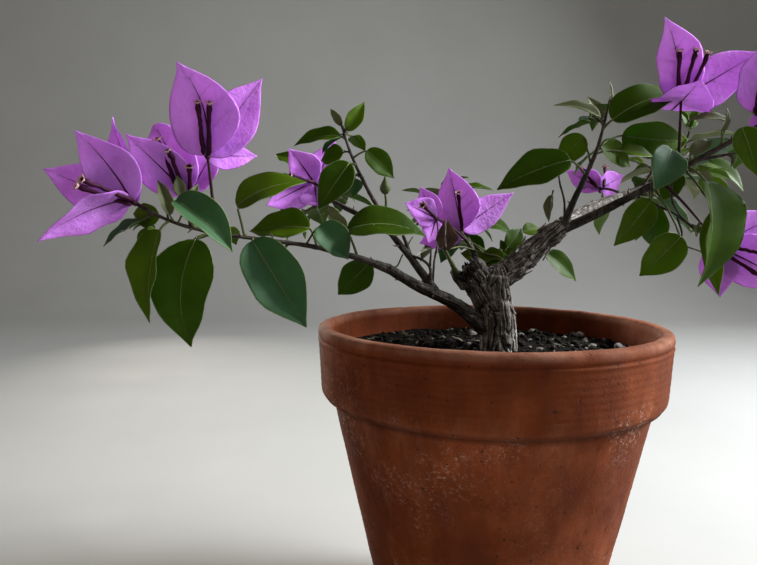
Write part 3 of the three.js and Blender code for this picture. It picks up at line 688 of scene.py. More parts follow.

# Leaves: limb, root share, stalk, swing, lean, turn, length, width share, tone, changes of the form
# Leaves of the teal tone carry a painted reflection
PLACED_LEAVES = table("""
left .91 -3 -4 -4 253 5 40 42 .58 fresh fold=.45 bow=.01
left .81 -6 -4 -3 264 6 5 50 .6 deep ripple=.05 bow=.1
left .85 -6 -8 12 326 10 -40 33 .64 sheen fold=.7 bend=.8
left .71 0 -2 -1 303 10 -8 47 .64 sheen ripple=.05 fold=.62
left .73 -4 2 14 29 0 -45 34 .58 fresh fold=.3 bend=1
left .55 -4 6 9 175 -10 40 33 .6 fresh fold=.4
left .58 6 2 9 317 10 -25 21 .86 sheen fold=.5
left .44 -5 -3 13 6 5 -52 38 .6 deep bend=1.2 fold=.25
left .38 -4 7 1 226 -10 0 26 .62 deep
left .9 -1 -2 3 105 0 30 17 .45 young fold=.7
left .89 4 -4 5 62 0 20 14 .5 young fold=.6
left .92 -3 2 1 175 -20 0 18 .6 fresh
left_upper .97 2 0 -1 57 0 10 18 .5 fresh fold=.5
left_upper .985 0 1 0 123 -10 0 12 .4 young fold=.6
left_upper .91 -3 0 2 183 5 45 24 .5 deep bend=.7 fold=.4
left_upper .81 7 0 4 319 0 -15 20 .62 deep fold=.3
left_upper .77 -3 -4 1 234 15 10 28 .6 deep fold=.3
left_upper .84 -4 8 1 190 -25 20 16 .7 fresh
right_upright .42 -10 -8 7 195 0 35 39 .55 deep bend=.6 fold=.3
right_upright .5 -3 3 15 229 -10 10 20 .7 fresh fold=.3
right_upright .79 -2 0 3 154 0 50 24 .4 young fold=.5 bend=.7
right_upright .8 0 6 2 107 -15 20 16 .5 young fold=.5
right_upright .9 0 0 1 76 0 60 13 .35 young fold=.8
right_upright .75 3 -5 4 28 0 -40 39 .58 deep bend=1.1 fold=.25
right_upright .64 2 3 1 335 -10 -20 23 .6 fresh
right_upright .62 16 11 8 354 0 20 36 .56 deep bend=1.15 fold=.3
right_upright .58 15 5 2 0 0 -40 18 .55 fresh fold=.4
right_long .4 3 -6 15 243 30 0 24 .8 sheen fold=.4
right_long .38 0 3 -8 235 2 0 29 .6 fresh twist=.4
right_long .37 14 -4 -25 231 -5 0 28 .7 fresh ripple=.1
right_long .36 3 6 -8 287 -10 15 28 .55 deep fold=.4
right_long .5 3 -16 -8 276 10 -38 50 .78 deep bend=.65 bow=-.03 fold=.45
right_long .49 13 -8 -21 268 5 45 42 .32 fresh fold=.6
right_long .44 8 6 2 239 -10 25 17 .7 fresh
right_long .52 1 3 5 35 0 -25 14 .6 young fold=.5
right_long .54 6 9 -4 310 0 -20 13 .6 young fold=.5
right_long .72 -5 -7 2 284 20 10 24 .6 fresh
right_long .64 -2 -2 7 65 0 40 12 .5 young fold=.6
right_long .63 5 4 13 169 0 50 19 .4 young fold=.5 bend=.8
centre_back .45 13 8 -10 165 -5 20 17 .7 fresh
centre_back .46 16 -4 -12 40 10 0 14 .8 fresh
""")

# Sprays: the way that side twigs lean, how many there are, their length, the leaves on each, the
# leaves' length, the share of the limb where they start, and the seed of their small differences
TWIG_RULES = {name: {**rule, "way": np.array(way)} for name, *way, rule in table("""
left -.2 1.6 -.1 twigs=3 long=10 leaves=2 leaf=20 from=.5 seed=11
left_upper 0 1.8 0 twigs=2 long=9 leaves=2 leaf=17 from=.55 seed=23
left_back 0 .6 -.2 twigs=6 long=17 leaves=3 leaf=28 from=.45 seed=37
centre_back 0 .7 -.3 twigs=7 long=17 leaves=3 leaf=28 from=.45 seed=41
right_upright .4 1.3 0 twigs=3 long=12 leaves=2 leaf=22 from=.5 seed=53
right_long .3 .6 -.1 twigs=6 long=18 leaves=3 leaf=28 from=.66 seed=67
right_back .1 .4 0 twigs=8 long=22 leaves=3 leaf=32 from=.42 seed=79
""")}

# Blooms: limb, the share of it where the stalk roots, and the foot. Bracts: swing, lean, turn,
# length, width share and changes of the form. Flower tubes: swing, lean and length.
BLOOM_ROWS = table("""
bloom_left_low left .965 -165 -61 220
bract 121 12 0 37 .64 bow=.04 fold=.3
bract 165 -18 20 43 .54
bract 197 27 -60 42 .58 bow=.08
bract 110 -28 0 46 .42 twist=.9 fold=.5 curl=.5
tube 158 15 21
tube 150 40 25
bloom_left_middle left .86 -146 -46 225
bract 131 15 0 36 .6
bract 122 -28 25 46 .5 curl=1.4 twist=.5
bract 62 -40 -20 30 .6
tube 106 5 24
tube 103 10 19
tube 82 10 12
bloom_left_high left .8 -134 -54 241
bract 103 8 0 41 .76 bow=.11
bract 60 -24 15 43 .56
bract 4 -50 0 26 .5
tube 91 5 21
tube 84 5 21
bloom_left_back left_back .55 -97 50 236
bract 125 35 0 31 .65
bract 65 -20 10 28 .65
bract 205 15 -20 33 .65
bract 290 50 0 30 .65
tube 165 25 16
bloom_centre centre_back .52 -11 38 209
bract 106 12 0 39 .66
bract 39 -30 20 41 .48
bract 200 -40 0 30 .6
tube 102 20 24
bloom_centre_low centre_back .42 -27 23 215
bract 158 15 10 22 .75
bract 118 -8 0 20 .7
bract 250 25 0 17 .8
tube 140 25 14
bloom_right_high right_long .475 88 -18 273
bract 112 8 0 40 .62 bow=.05 curl=.4
bract 33 -16 10 47 .52
bract 84 58 0 31 .95 start=10 bend=.3 fold=.15
tube 99 5 21
tube 84 5 21
tube 74 5 21
bloom_right_end right_long .8 121 -24 266
bract 94 10 0 36 .66
bract 31 -28 15 40 .6
bract 312 40 0 32 .7
tube 75 20 20
tube 55 20 20
bloom_right_low right_long .4 114 -8 201
bract 328 10 0 40 .68
bract 28 -20 10 37 .64
bract 264 18 20 29 .66
tube 346 15 22
tube 318 20 22
bloom_right_back right_back .42 76 64 234
bract 145 -50 0 26 .62
bract 30 -50 10 27 .62
bract 90 -78 0 33 .62
tube 120 -60 18
tube 70 -60 18
""")


def blooms_of(rows):
    """Each bloom's limb, root share, foot, bracts and tubes."""
    blooms = {}
    for kind, *numbers, changes in rows:
        if kind.startswith("bloom"):
            blooms[kind] = (*numbers[:2], np.array(numbers[2:], float), {"bract": [], "tube": []})
            parts = blooms[kind][-1]
        else:
            parts[kind].append((*numbers, changes))
    return blooms


BLOOMS = blooms_of(BLOOM_ROWS)


# Pot: an outline turned round the axis, worn and pitted

POT_TURNS = 340
FINE_STEP, BODY_STEP = 0.6, 1.5
NECK_Z = 123
GROOVE_Z = 154.2
LIP_ROUND, LIP_WIDTH = 2.4, 5.1
DRAIN_PLACE, DRAIN_RADIUS, DRAINS = 24, 5, 3
FLOOR_Z = 10.0


def pot_outline():
    """From the foot's middle up the outside, over the round lip and down to the inner floor."""
    def arc(radius, start, end):
        turns = np.radians(np.linspace(start, end, 6))
        middle = POT_HEIGHT - LIP_ROUND
        return [(radius + LIP_ROUND * math.cos(t), middle + LIP_ROUND * math.sin(t)) for t in turns]

    return np.array([(0, 0), (52, 0), (54, 2), (81.6, NECK_Z - 1), (82.6, NECK_Z), (86.3, NECK_Z + 0.5),
                     (87.8, NECK_Z + 2.5), *arc(RIM_RADIUS - LIP_ROUND, 0, 90),
                     *arc(RIM_RADIUS - LIP_WIDTH, 90, 180), (81, 135), (74.6, 119), (47, FLOOR_Z),
                     (0, FLOOR_Z)])


def dense(outline):
    """The outline in steps that are fine on the band and the lip, its corners worn round."""
    points = [outline[0]]
    for a, b in zip(outline, outline[1:]):
        step = FINE_STEP if min(a[1], b[1]) > NECK_Z - 2 and min(a[0], b[0]) > 81.5 else BODY_STEP
        count = max(1, round(float(np.linalg.norm(b - a)) / step))
        points += [a + (b - a) * k / count for k in range(1, count + 1)]
    points = np.array(points)
    for _ in range(4):
        points[1:-1] = (points[:-2] + 2 * points[1:-1] + points[2:]) / 4
    return points


def hill(z, middle, width):
    return np.exp(-((z - middle) / width) ** 2)


def pot_relief(points, outer):
    """How far the clay stands out: slow waves, grain, pits, the groove and the worn band edge."""
    z = points[..., 2]
    waves = 0.4 * fractal(points / 26, 3) + 0.12 * fractal(points / 4.2, 9)
    pits = smooth_step(0.55, 0.8, noise(points / 2.4, 17)) * smooth_step(-0.1, 0.4, noise(points / 17, 23))
    rings = 0.06 * np.sin(z * 1.9 + 2 * noise(points / 30, 31))
    edge = hill(z, NECK_Z + 1.6, 2.2) * (0.5 + 1.2 * np.clip(fractal(points / 9, 41), 0, 1))
    lip = hill(z, POT_HEIGHT, 1.6) * 0.6 * smooth_step(0.25, 0.7, fractal(points / 6, 47))
    groove = 0.6 * hill(z, GROOVE_Z, 0.55) - 0.25 * hill(z, GROOVE_Z - 1.3, 0.6)
    return waves - 0.45 * pits - lip + outer * (rings - edge - groove)


def pot_shape():
    outline = dense(pot_outline())
    slope = np.gradient(outline, axis=0)
    normal = unit(np.column_stack([slope[:, 1], -slope[:, 0]]))[1:-1]
    points, ways = turned(outline[1:-1], POT_TURNS), turned(normal, POT_TURNS)
    outer = (normal[:, :1] > 0.5) * 1.0
    still = smooth_step(0.5, 3, points[..., 2])
    relief = pot_relief(points, outer) * still
    return capped(points + ways * relief[..., None], [(0, 0, 0), (0, 0, FLOOR_Z)])


def drain_cutter():
    cutter = Piece("drain_cutter")
    for turn in angles_of(DRAINS):
        place = np.array([DRAIN_PLACE * math.cos(turn), DRAIN_PLACE * math.sin(turn), 0])
        cutter.add(tube([place - 8 * UP, place + 20 * UP], [DRAIN_RADIUS] * 2, 32))
    return put("drain_cutter", cutter.mesh())


def lime_and_painted_light(paint, share, low):
    """Where limy salts bloom on the clay: soft patches, and flecks of broken threads. They are heavier on the left and
    right sides, where the patches are partly painted light.
    """
    across = paint.node("SeparateXYZ", {0: paint.spot}).outputs[0]
    across = paint.math("MULTIPLY_ADD", across, 0.5 / (RIM_RADIUS * MM), 0.5)
    height = paint.ramp(share, (0.05, 0.7), (0.3, 0.55), (0.6, 0.8), (0.78, 1.0), (0.83, 0.3), (1.0, 0.08))
    # Partly painted light: the pale bloom is heavier on the left and right sides of the pot and light in its front
    # middle
    sides = paint.ramp(across, (0.1, 1.0), (0.3, 0.8), (0.42, 0.15), (0.7, 0.15), (0.84, 0.8))
    neck = paint.ramp(share, (0.67, 0.0), (0.73, 1.0), (0.8, 0.9), (0.85, 0.1))
    height = paint.math("MAXIMUM", paint.math("MULTIPLY", height, sides), neck)
    area = paint.math("MULTIPLY", paint.ramp(paint.noise(19, 3), (0.48, 0.0), (0.6, 1.0)), height)
    threads = paint.ramp(paint.noise(210, 6, 0.7, 1.2), (0.455, 0.0), (0.49, 0.9), (0.515, 0.9), (0.545, 0.0))
    specks = paint.ramp(paint.noise(420, 7, 0.8, 0.6), (0.5, 0.0), (0.63, 1.0))
    smear = paint.ramp(paint.noise(45, 8, 0.8, spot=low), (0.48, 0.0), (0.75, 0.45))
    flecks = paint.math("MULTIPLY", paint.math("MULTIPLY", threads, specks), area)
    return paint.math("MULTIPLY", smear, height), flecks


def clay_material():
    """Red-brown clay with darker streaks, pale limy flecks and patches, partly painted light on its sides, painted
    shade with dirt in the crease under the band, a rubbed lip and dark pits.
    """
    paint = Paint("fired_clay", (0.22, 0.055, 0.018), 0.85, 0.12)
    low = paint.place(0.25)
    high = paint.node("SeparateXYZ", {0: paint.spot}).outputs[2]
    share = paint.math("MULTIPLY", high, 1 / (POT_HEIGHT * MM))
    tone = paint.ramp(paint.noise(17, 6), (0.3, (0.088, 0.014, 0.003)), (0.5, (0.155, 0.032, 0.007)),
                      (0.7, (0.28, 0.067, 0.02)))
    streak = paint.ramp(paint.noise(80, 5, 0.65, spot=low), (0.4, 0.0), (0.7, 0.45))
    # The pale patches are partly painted light on the pot's left and right sides
    smears_and_painted_light, flecks = lime_and_painted_light(paint, share, low)
    for part, color in ((streak, (0.05, 0.009, 0.003)), (smears_and_painted_light, (0.34, 0.15, 0.09)),
                        (flecks, (0.72, 0.52, 0.44))):
        tone = paint.mix(part, tone, color)
    # Painted shade with dirt: the clay is darkened in the crease under the band
    tone = paint.shade(tone, paint.ramp(share, (0.745, 1.0), (0.762, 0.45), (0.775, 0.6), (0.79, 1.0)))
    worn = paint.ramp(share, (0.972, 0.0), (0.992, 1.0))
    rub = paint.math("MULTIPLY", worn, paint.ramp(paint.noise(60), (0.35, 0.1), (0.7, 0.6)))
    pits = paint.ramp(paint.noise(380, 3), (0.66, 0.0), (0.71, 0.85))
    tone = paint.mix(pits, paint.mix(rub, tone, (0.42, 0.2, 0.13)), (0.03, 0.012, 0.008))
    gloss = paint.ramp(paint.noise(90), (0.3, 0.72), (0.7, 0.92))
    grain = paint.math("ADD", paint.noise(900, 4, 0.7), paint.math("MULTIPLY", pits, -0.8))
    return paint.finish(tone, gloss, grain, 0.75, 0.4)


def make_pot():
    clay = Piece("pot_clay")
    clay.add(pot_shape())
    holder = put("pot_holder", clay.mesh())
    cutter = drain_cutter()
    cut = holder.modifiers.new("drain", "BOOLEAN")
    cut.operation, cut.object, cut.solver = "DIFFERENCE", cutter, "EXACT"
    mesh = evaluated(holder, "pot_clay")
    bpy.data.objects.remove(cutter)
    dress("pot_clay", mesh, clay_material(), "terracotta", "pot")


make_pot()


# Soil: crumbly ground with stones, flakes of bark and dry fibres on it

SOIL_RADIUS = 81.3
SOIL_TOP = 144.5
SOIL_TURNS = 220
# The filling's rings under the ground: their radii and heights along the pot's inner wall
SOIL_BELOW = np.array([(78, 126), (74, 119), (46.5, 10.4)])
TRUNK_X, TRUNK_CLEAR = 4, 12.5
SCATTER_RADIUS = SOIL_RADIUS * 0.96


def soil_height(x, y):
    lump = np.sin(x * 0.19 + 1) * np.cos(y * 0.23) + 0.6 * np.sin(x * 0.41 - y * 0.37)
    spots = np.stack([x, y, 0 * x], -1)
    heap = 1.2 * fractal(spots / 9, 51) + 0.9 * fractal(spots / 3.1, 61, 2, True) - 0.6
    edge = smooth_step(SOIL_RADIUS - 7, SOIL_RADIUS, np.hypot(x, y))
    mound = 3 * np.exp(-((x + 28) ** 2 + (y - 10) ** 2) / 300)
    return SOIL_TOP + 2.2 * (0.4 + lump * 0.7) * (1 - edge) + heap + edge * 1.2 + mound


def ground_at(x, y):
    return float(soil_height(np.array([x]), np.array([y]))[0])


def soil_shape():
    radii = np.linspace(0.6, SOIL_RADIUS, 90)
    rings = turned(np.vstack([np.column_stack([radii, radii]), SOIL_BELOW]), SOIL_TURNS)
    ground = rings[:len(radii)]
    ground[..., 2] = soil_height(ground[..., 0], ground[..., 1])
    return capped(rings, [(0, 0, ground_at(0.0, 0.0)), (0, 0, SOIL_BELOW[-1][1])])


def ball(levels):
    """A round body of triangles: an icosahedron, split and blown up."""
    g = (1 + 5 ** 0.5) / 2
    points = [(-1, g, 0), (1, g, 0), (-1, -g, 0), (1, -g, 0), (0, -1, g), (0, 1, g),
              (0, -1, -g), (0, 1, -g), (g, 0, -1), (g, 0, 1), (-g, 0, -1), (-g, 0, 1)]
    faces = [(0, 11, 5), (0, 5, 1), (0, 1, 7), (0, 7, 10), (0, 10, 11), (1, 5, 9), (5, 11, 4),
             (11, 10, 2), (10, 7, 6), (7, 1, 8), (3, 9, 4), (3, 4, 2), (3, 2, 6), (3, 6, 8),
             (3, 8, 9), (4, 9, 5), (2, 4, 11), (6, 2, 10), (8, 6, 7), (9, 8, 1)]
    points = [unit(np.array(p, float)) for p in points]
    for _ in range(levels):
        middles, split = {}, []
        for a, b, c in faces:
            mids = []
            for pair in ((a, b), (b, c), (c, a)):
                key = tuple(sorted(pair))
                if key not in middles:
                    middles[key] = len(points)
                    points.append(unit(points[pair[0]] + points[pair[1]]))
                mids.append(middles[key])
            ab, bc, ca = mids
            split += [(a, ab, ca), (b, bc, ab), (c, ca, bc), (ab, bc, ca)]
        faces = split
    return np.array(points), np.array(faces)


BALL = ball(1)
FINE_BALL = ball(2)


def stone(rng, place, size, flat, rough, body=BALL):
    """An uneven stone: a round body stretched, dented and turned."""
    points, faces = body
    shift = rng.uniform(-50, 50, 3)
    points = points * (1 + rough * noise(points * 1.7 + shift, 71))[:, None]
    points = points * size * np.array([rng.uniform(0.8, 1.4), rng.uniform(0.7, 1.1), flat])
    turn, tip = rng.uniform(0, 2 * math.pi), rng.normal(0, 0.35)
    spin = Matrix.Rotation(turn, 3, "Z") @ Matrix.Rotation(tip, 3, "X")
    return points @ np.array(spin).T + place, [], faces


def on_soil(rng):
    """A spot on the soil, off the trunk's foot."""
    while True:
        r = SCATTER_RADIUS * math.sqrt(rng.uniform())
        t = rng.uniform(0, 2 * math.pi)
        x, y = r * math.cos(t), r * math.sin(t)
        if math.hypot(x - TRUNK_X, y) > TRUNK_CLEAR:
            return x, y, ground_at(x, y)


def scattered(name, material, seed, count, sizes, flat, rough, least=1.0, side=(0, 1), body=BALL):
    """Stones on the soil, all of them on one side and the least share of them on the other."""
    rng = np.random.default_rng(seed)
    piece = Piece(name, material, "soil")
    made = 0
    while made < count:
        x, y, z = on_soil(rng)
        if rng.uniform() < least + (1 - least) * smooth_step(*side, x):
            size = rng.uniform(*sizes) ** 2 / sizes[1]
            piece.add(stone(rng, np.array([x, y, z + size * flat * 0.3]), size, flat, rough, body))
            made += 1
    piece.build("soil")


def make_fibres():
    rng = np.random.default_rng(83)
    fibres = Piece("soil_fibres", FIBRE, "soil")
    for _ in range(260):
        foot = np.array(on_soil(rng))
        if rng.uniform() > 0.15 + 0.85 * smooth_step(10, -50, foot[0]):
            continue
        turn, long = rng.uniform(0, 2 * math.pi), rng.uniform(2.5, 8)
        way = np.array([math.cos(turn), math.sin(turn), rng.uniform(-0.05, 0.12)])
        points = bent(foot, foot + way * long, rng.uniform(0.02, 0.16))
        points[1:-1] += rng.normal(0, 0.35, (len(points) - 2, 3))
        fibres.add(tube(points, np.linspace(0.5, 0.2, len(points)), 4))
    fibres.build("soil")


def make_soil():
    ground = Piece("soil_ground", EARTH, "soil")
    ground.add(soil_shape())
    ground.build("soil")
    scattered("soil_crumbs", CRUMB, 101, 1700, (0.4, 1.9), 0.8, 0.6)
    scattered("soil_stones", PALE_STONE, 107, 85, (0.9, 2.7), 0.75, 0.25, 0.08, (5, 45), FINE_BALL)
    scattered("soil_flakes", FLAKE, 109, 150, (1.0, 3.6), 0.2, 0.7, 0.08, (10, -30))
    make_fibres()


make_soil()


# Bark: one closed skin over the trunk and the boughs, raised in fibres, furrows and creases

VOXEL = 0.36
SMOOTHINGS = 4
CORE_POINTS = 120
NEAREST_BATCH = 4000
FLARE, FLARE_HEIGHT, TRUNK_LENGTH = 4.5, 7, 46
# The flare's lobes: how many, how deep and how far turned
LOBES = ((3, 0.4, 0.6), (5, 0.25, -1.0))
TORN_FIBRES = 26


def trunk_shape():
    """The trunk, with its roots' flare in lobes at the soil."""
    shares, angles = np.linspace(0.08, 1, 46), angles_of(40)
    flare = FLARE * np.exp(-shares * TRUNK_LENGTH / FLARE_HEIGHT)
    lobes = sum(depth * np.cos(angles * count + turn) for count, depth, turn in LOBES) + 0.6
    return tube(TRUNK.at(shares), TRUNK.root + flare[:, None] * lobes[None, :], 40)


def bough_shape(limb):
    to = min(1.0, limb.leafy + 0.03)
    shares = np.linspace(0, to, max(4, int(limb.length * to / 1.5)))
    collar = 1 + 0.22 * np.exp(-shares * limb.length / 4)
    return tube(limb.at(shares), limb.radius(shares) * collar, 20)


def stump_shapes():
    """The stump and the stubs of torn wood on its end."""
    yield tube(STUMP.at(np.linspace(0, 1, 16)), np.full(16, STUMP.root * 0.95), 26)
    tip, way = STUMP.at(1.0), STUMP.way(1.0)
    side = unit(np.cross(way, FRONT))
    over = np.cross(way, side)
    rng = np.random.default_rng(5)
    for k in range(TORN_FIBRES):
        reach = 0.35 + 0.6 * rng.uniform()
        out = around(side, over, k * 2.4)
        root = tip + out * STUMP.root * reach - way * 4
        point = root + way * (4 + rng.uniform(1.5, 7.5) * reach) + out * rng.uniform(0, 1.6)
        yield tube([root, (root + point) / 2, point], [2.3, 1.7, 0.45], 7)


def bark_cores(limbs):
    """Centre points, directions, radii, lengths, relief and number of limbs, for the bark's grain."""
    full = np.full(CORE_POINTS, 1.0)
    cores = []
    for index, limb in enumerate(limbs):
        shares = np.linspace(0, 1, CORE_POINTS) * min(1.0, limb.leafy + 0.05)
        points = limb.at(shares)
        _, across, over = frames_along(points)
        cores.append((points, across, over, limb.radius(shares), shares * limb.length, full * limb.relief,
                      full * index))
    return [np.concatenate(column) for column in zip(*cores)]


def nearest(points, centres, radii):
    """Which centre's round each point is nearest to."""
    best = np.zeros(len(points), int)
    for start in range(0, len(points), NEAREST_BATCH):
        batch = slice(start, start + NEAREST_BATCH)
        gap = np.linalg.norm(points[batch, None] - centres[None], axis=2) - radii[None]
        best[batch] = gap.argmin(axis=1)
    return best


def bark_relief(points, cores):
    """Height of the bark over its core, in the directions along and around the nearest limb."""
    centres, across, over, radii, along, relief, index = cores
    best = nearest(points, centres, radii)
    out = points - centres[best]
    c, s = (out * across[best]).sum(1), (out * over[best]).sum(1)
    scale = np.maximum(np.hypot(c, s), 1e-6)
    radius = radii[best]
    warp = 0.9 * fractal(points / 9, 119)
    spot = np.column_stack([c / scale * radius + warp, s / scale * radius - warp, along[best] * 0.055])
    spot += index[best, None] * 37
    fibres = fractal(spot * np.array([0.75, 0.75, 1.0]), 131, 2, True)
    furrows = smooth_step(0.85, 0.99, fractal(spot * np.array([0.3, 0.3, 0.9]), 141, 1, True))
    creases = smooth_step(0.86, 0.99, fractal(spot * np.array([0.62, 0.62, 1.6]), 145, 1, True))
    lumps = fractal(points / 6, 171)
    thick = np.minimum(radius / 6, 1)
    return relief[best] * (0.9 * (fibres - 0.7) - (1.4 * furrows + 0.7 * creases) * thick
                           + 0.45 + 0.8 * lumps * thick)


def skin_over(shapes, name):
    """One closed skin round shapes that run into each other."""
    core = Piece(name)
    for shape in shapes:
        core.add(shape)
    holder = put(name, core.mesh())
    grow = holder.modifiers.new("skin", "REMESH")
    grow.mode, grow.voxel_size = "VOXEL", VOXEL * MM
    melt = holder.modifiers.new("melt", "SMOOTH")
    melt.factor, melt.iterations = 0.5, SMOOTHINGS
    return evaluated(holder, name)


def vectors_of(collection, key):
    values = np.empty(len(collection) * 3, np.float32)
    collection.foreach_get(key, values)
    return values.reshape(-1, 3).astype(float)


# Painted light on bark facing the key light, painted shade on bark facing away; dark round the stump's torn end
PAINTED_LIGHT_SIDE = (0.62, -0.2, 0.76)
TORN_END = tuple(STUMP.points[-1] * MM)


def bark_material(name, tones, painted_furrow_shade):
    """Bark in streaks and blotches of three tones: darker furrows, partly their own dark and partly painted shade, and
    painted light on one side.
    """
    paint = Paint(name, tones[1], 0.9, 0.3)
    streaks = paint.noise(420, 6, 0.7, spot=paint.place(0.3))
    patch = paint.mix(0.45, paint.noise(120, 7, 0.75), streaks)
    tone = paint.ramp(patch, *zip((0.38, 0.5, 0.64), tones))
    surface = paint.node("NewGeometry", {}).outputs
    # Painted light and shade: bark facing the key light stays light, bark facing away is darkened
    painted_light = paint.vector("DOT_PRODUCT", surface["Normal"], PAINTED_LIGHT_SIDE)
    torn = paint.vector("DISTANCE", paint.spot, TORN_END)
    # Pointiness darkens the furrows: partly the bark's own dark furrows, partly painted shade
    for value, *stops in ((surface["Pointiness"], (0.44, painted_furrow_shade), (0.5, 0.62), (0.55, 1.0)),
                          (painted_light, (0.0, 0.38), (0.75, 1.0)), (torn, (0.004, 0.25), (0.014, 1.0))):
        tone = paint.shade(tone, paint.ramp(value, *stops))
    gloss = paint.ramp(paint.noise(300), (0.3, 0.78), (0.7, 0.96))
    return paint.finish(tone, gloss, streaks, 0.9, 0.5)


# The last number is how dark the furrows get, partly painted shade
OLD_BARK = bark_material("old_bark", ((0.04, 0.029, 0.023), (0.24, 0.2, 0.175), (0.8, 0.74, 0.7)), 0.01)
YOUNG_BARK = bark_material("young_bark",
                           ((0.018, 0.012, 0.009), (0.075, 0.057, 0.047), (0.33, 0.29, 0.26)), 0.08)
DARK_BARK = bark_material("torn_bark", ((0.008, 0.005, 0.004), (0.03, 0.021, 0.016), (0.1, 0.078, 0.06)), 0.1)
OLD_LIMBS = ("right", "right_back")


def add_strip(piece, line, share, radius, rng):
    """A loose strip of bark along a limb, its tip lifted off."""
    way = line.way(share) * rng.choice((-1, 1))
    out = unit(np.cross(way, unit(rng.normal(0, 1, 3))))
    heading = unit(way + out * rng.uniform(0.02, 0.3) + np.cross(way, out) * rng.normal(0, 0.15))
    piece.add(Blade(line.at(share) + out * radius * 0.95, heading, square_to(out, heading), rng.uniform(3, 9),
                    rng.uniform(1, 2.6), STRIP_FORM, bend=rng.uniform(-0.6, 0.5), fold=-0.5,
                    twist=rng.normal(0, 0.3), ripple=0.2, phase=rng.uniform(0, 6)).skin())


def bark_flakes():
    """Loose strips on the trunk and the thick boughs, and the torn fibres of the stump."""
    rng = np.random.default_rng(211)
    flakes = Piece("bark_flakes", OLD_BARK, "bark")
    for limb, radius, low, high, count in (
            (TRUNK, TRUNK.root, 0.3, 0.95, 34), (LIMBS["right"], 6.4, 0.1, 0.95, 40),
            (LIMBS["right_back"], 3.4, 0.05, 0.35, 12), (STUMP, STUMP.root, 0.2, 0.8, 24)):
        for _ in range(count):
            add_strip(flakes, limb, rng.uniform(low, high), radius, rng)
    flakes.build("trunk", "right_bough")
    torn = Piece("torn_fibres", DARK_BARK, "bark")
    tip, way = STUMP.at(1.0), STUMP.way(1.0)
    for _ in range(90):
        out = unit(np.cross(way, unit(rng.normal(0, 1, 3))))
        reach = math.sqrt(rng.uniform()) * STUMP.root
        heading = unit(way * rng.uniform(0.5, 1) + out * rng.uniform(0, 0.7) + UP * 0.3)
        torn.add(Blade(tip + out * reach - way * 1.5, heading, square_to(out, heading), rng.uniform(2.5, 7),
                       rng.uniform(0.8, 2.2), STRIP_FORM, bend=rng.uniform(-0.7, 0.7), fold=-0.3,
                       ripple=0.2, phase=rng.uniform(0, 6)).skin())
    torn.build("trunk")


def raise_bark(mesh, cores):
    """Pushes a skin out by the height of its bark. The trunk's foot stays flat on the soil."""
    points, normals = vectors_of(mesh.vertices, "co") / MM, vectors_of(mesh.vertex_normals, "vector")
    foot = smooth_step(TRUNK_FOOT + 0.2, TRUNK_FOOT + 3, points[:, 2])
    raised = points + normals * (bark_relief(points, cores) * foot)[:, None]
    mesh.vertices.foreach_set("co", (raised * MM).astype(np.float32).ravel())
    smooth(mesh)
    mesh.update()


def make_bark():
    young_limbs = [name for name in LIMBS if name not in OLD_LIMBS]
    for name, boughs, extra, shapes, parts, material in (
            ("old_bark", OLD_LIMBS, ["trunk"], [trunk_shape(), *stump_shapes()], [TRUNK, STUMP], OLD_BARK),
            ("young_bark", young_limbs, [], [], [], YOUNG_BARK)):
        limbs = [LIMBS[bough] for bough in boughs]
        mesh = skin_over(shapes + [bough_shape(limb) for limb in limbs], name)
        raise_bark(mesh, bark_cores(parts + limbs))
        dress(name, mesh, material, "bark", *[f"{bough}_bough" for bough in boughs], *extra)
    bark_flakes()


make_bark()


# Sprays: stems that run on from the boughs, leaves on their stalks, side twigs by rule

GOLDEN_TURN = 137.5
RULE_STALK = 4
# Rule leaves draw a tone at random; the teal tone among them is a painted reflection
TONE_SHARES = {"deep": 0.42, "fresh": 0.38, "sheen": 0.12, "young": 0.08}
STUB_PROFILE = np.array([1, 0.85, 0.62, 0.42, 0.2])
BUD_PROFILE = np.array([0.5, 0.95, 1.0, 0.75, 0.4, 0.12])

LEAVES = {tone: Piece(f"leaves_{tone}", material, "leaf") for tone, material in LEAF_TONES.items()}
RIBS = Piece("leaf_ribs", RIB, "leaf")
STEMS = Piece("stems", TWIG, "leaf")
SHOOTS = Piece("green_stalks", SHOOT, "leaf")


def twig_skin(points, radii, rng, sides=8, knots=0.12):
    """A twig, uneven and thicker at its nodes."""
    rows = len(points)
    uneven = 1 + knots * rng.normal(0, 1, (rows, 1)) + knots * 0.5 * rng.normal(0, 1, (rows, sides))
    return tube(points, np.asarray(radii)[:, None] * np.clip(uneven, 0.75, 1.4), sides)


def add_stem(name):
    limb = LIMBS[name]
    rng = np.random.default_rng(300 + len(name))
    shares = np.linspace(limb.leafy - 0.02, 1, int(limb.length * (1 - limb.leafy) / 1.3))
    STEMS.add(twig_skin(limb.at(shares), limb.radius(shares), rng, 12, 0.05))
    add_stubs(limb, rng)


def add_stubs(limb, rng):
    """Thorns and the stubs of fallen side twigs."""
    count = int(limb.length / 11)
    for k in range(count):
        share = 0.12 + 0.86 * (k + rng.uniform(0.2, 0.8)) / count
        way = limb.way(share)
        side = unit(np.cross(way, UP))
        out = around(side, np.cross(way, side), math.radians(k * GOLDEN_TURN + rng.uniform(-20, 20)))
        radius = float(limb.radius(share))
        heading = unit(out + way * rng.uniform(0.2, 0.7))
        long = radius + rng.uniform(1.4, 4.2)
        points = limb.at(share) + heading * np.linspace(0, long, 5)[:, None]
        points[-1] += way * 0.4
        STEMS.add(twig_skin(points, STUB_PROFILE * max(0.75, radius * 0.42), rng, 6))


def add_bud(root, heading, size, piece=SHOOTS):
    """A small pointed bud."""
    shares = np.linspace(0, 1, 6)
    piece.add(tube(root + heading * (shares * size * 3.2)[:, None], BUD_PROFILE * size, 6))


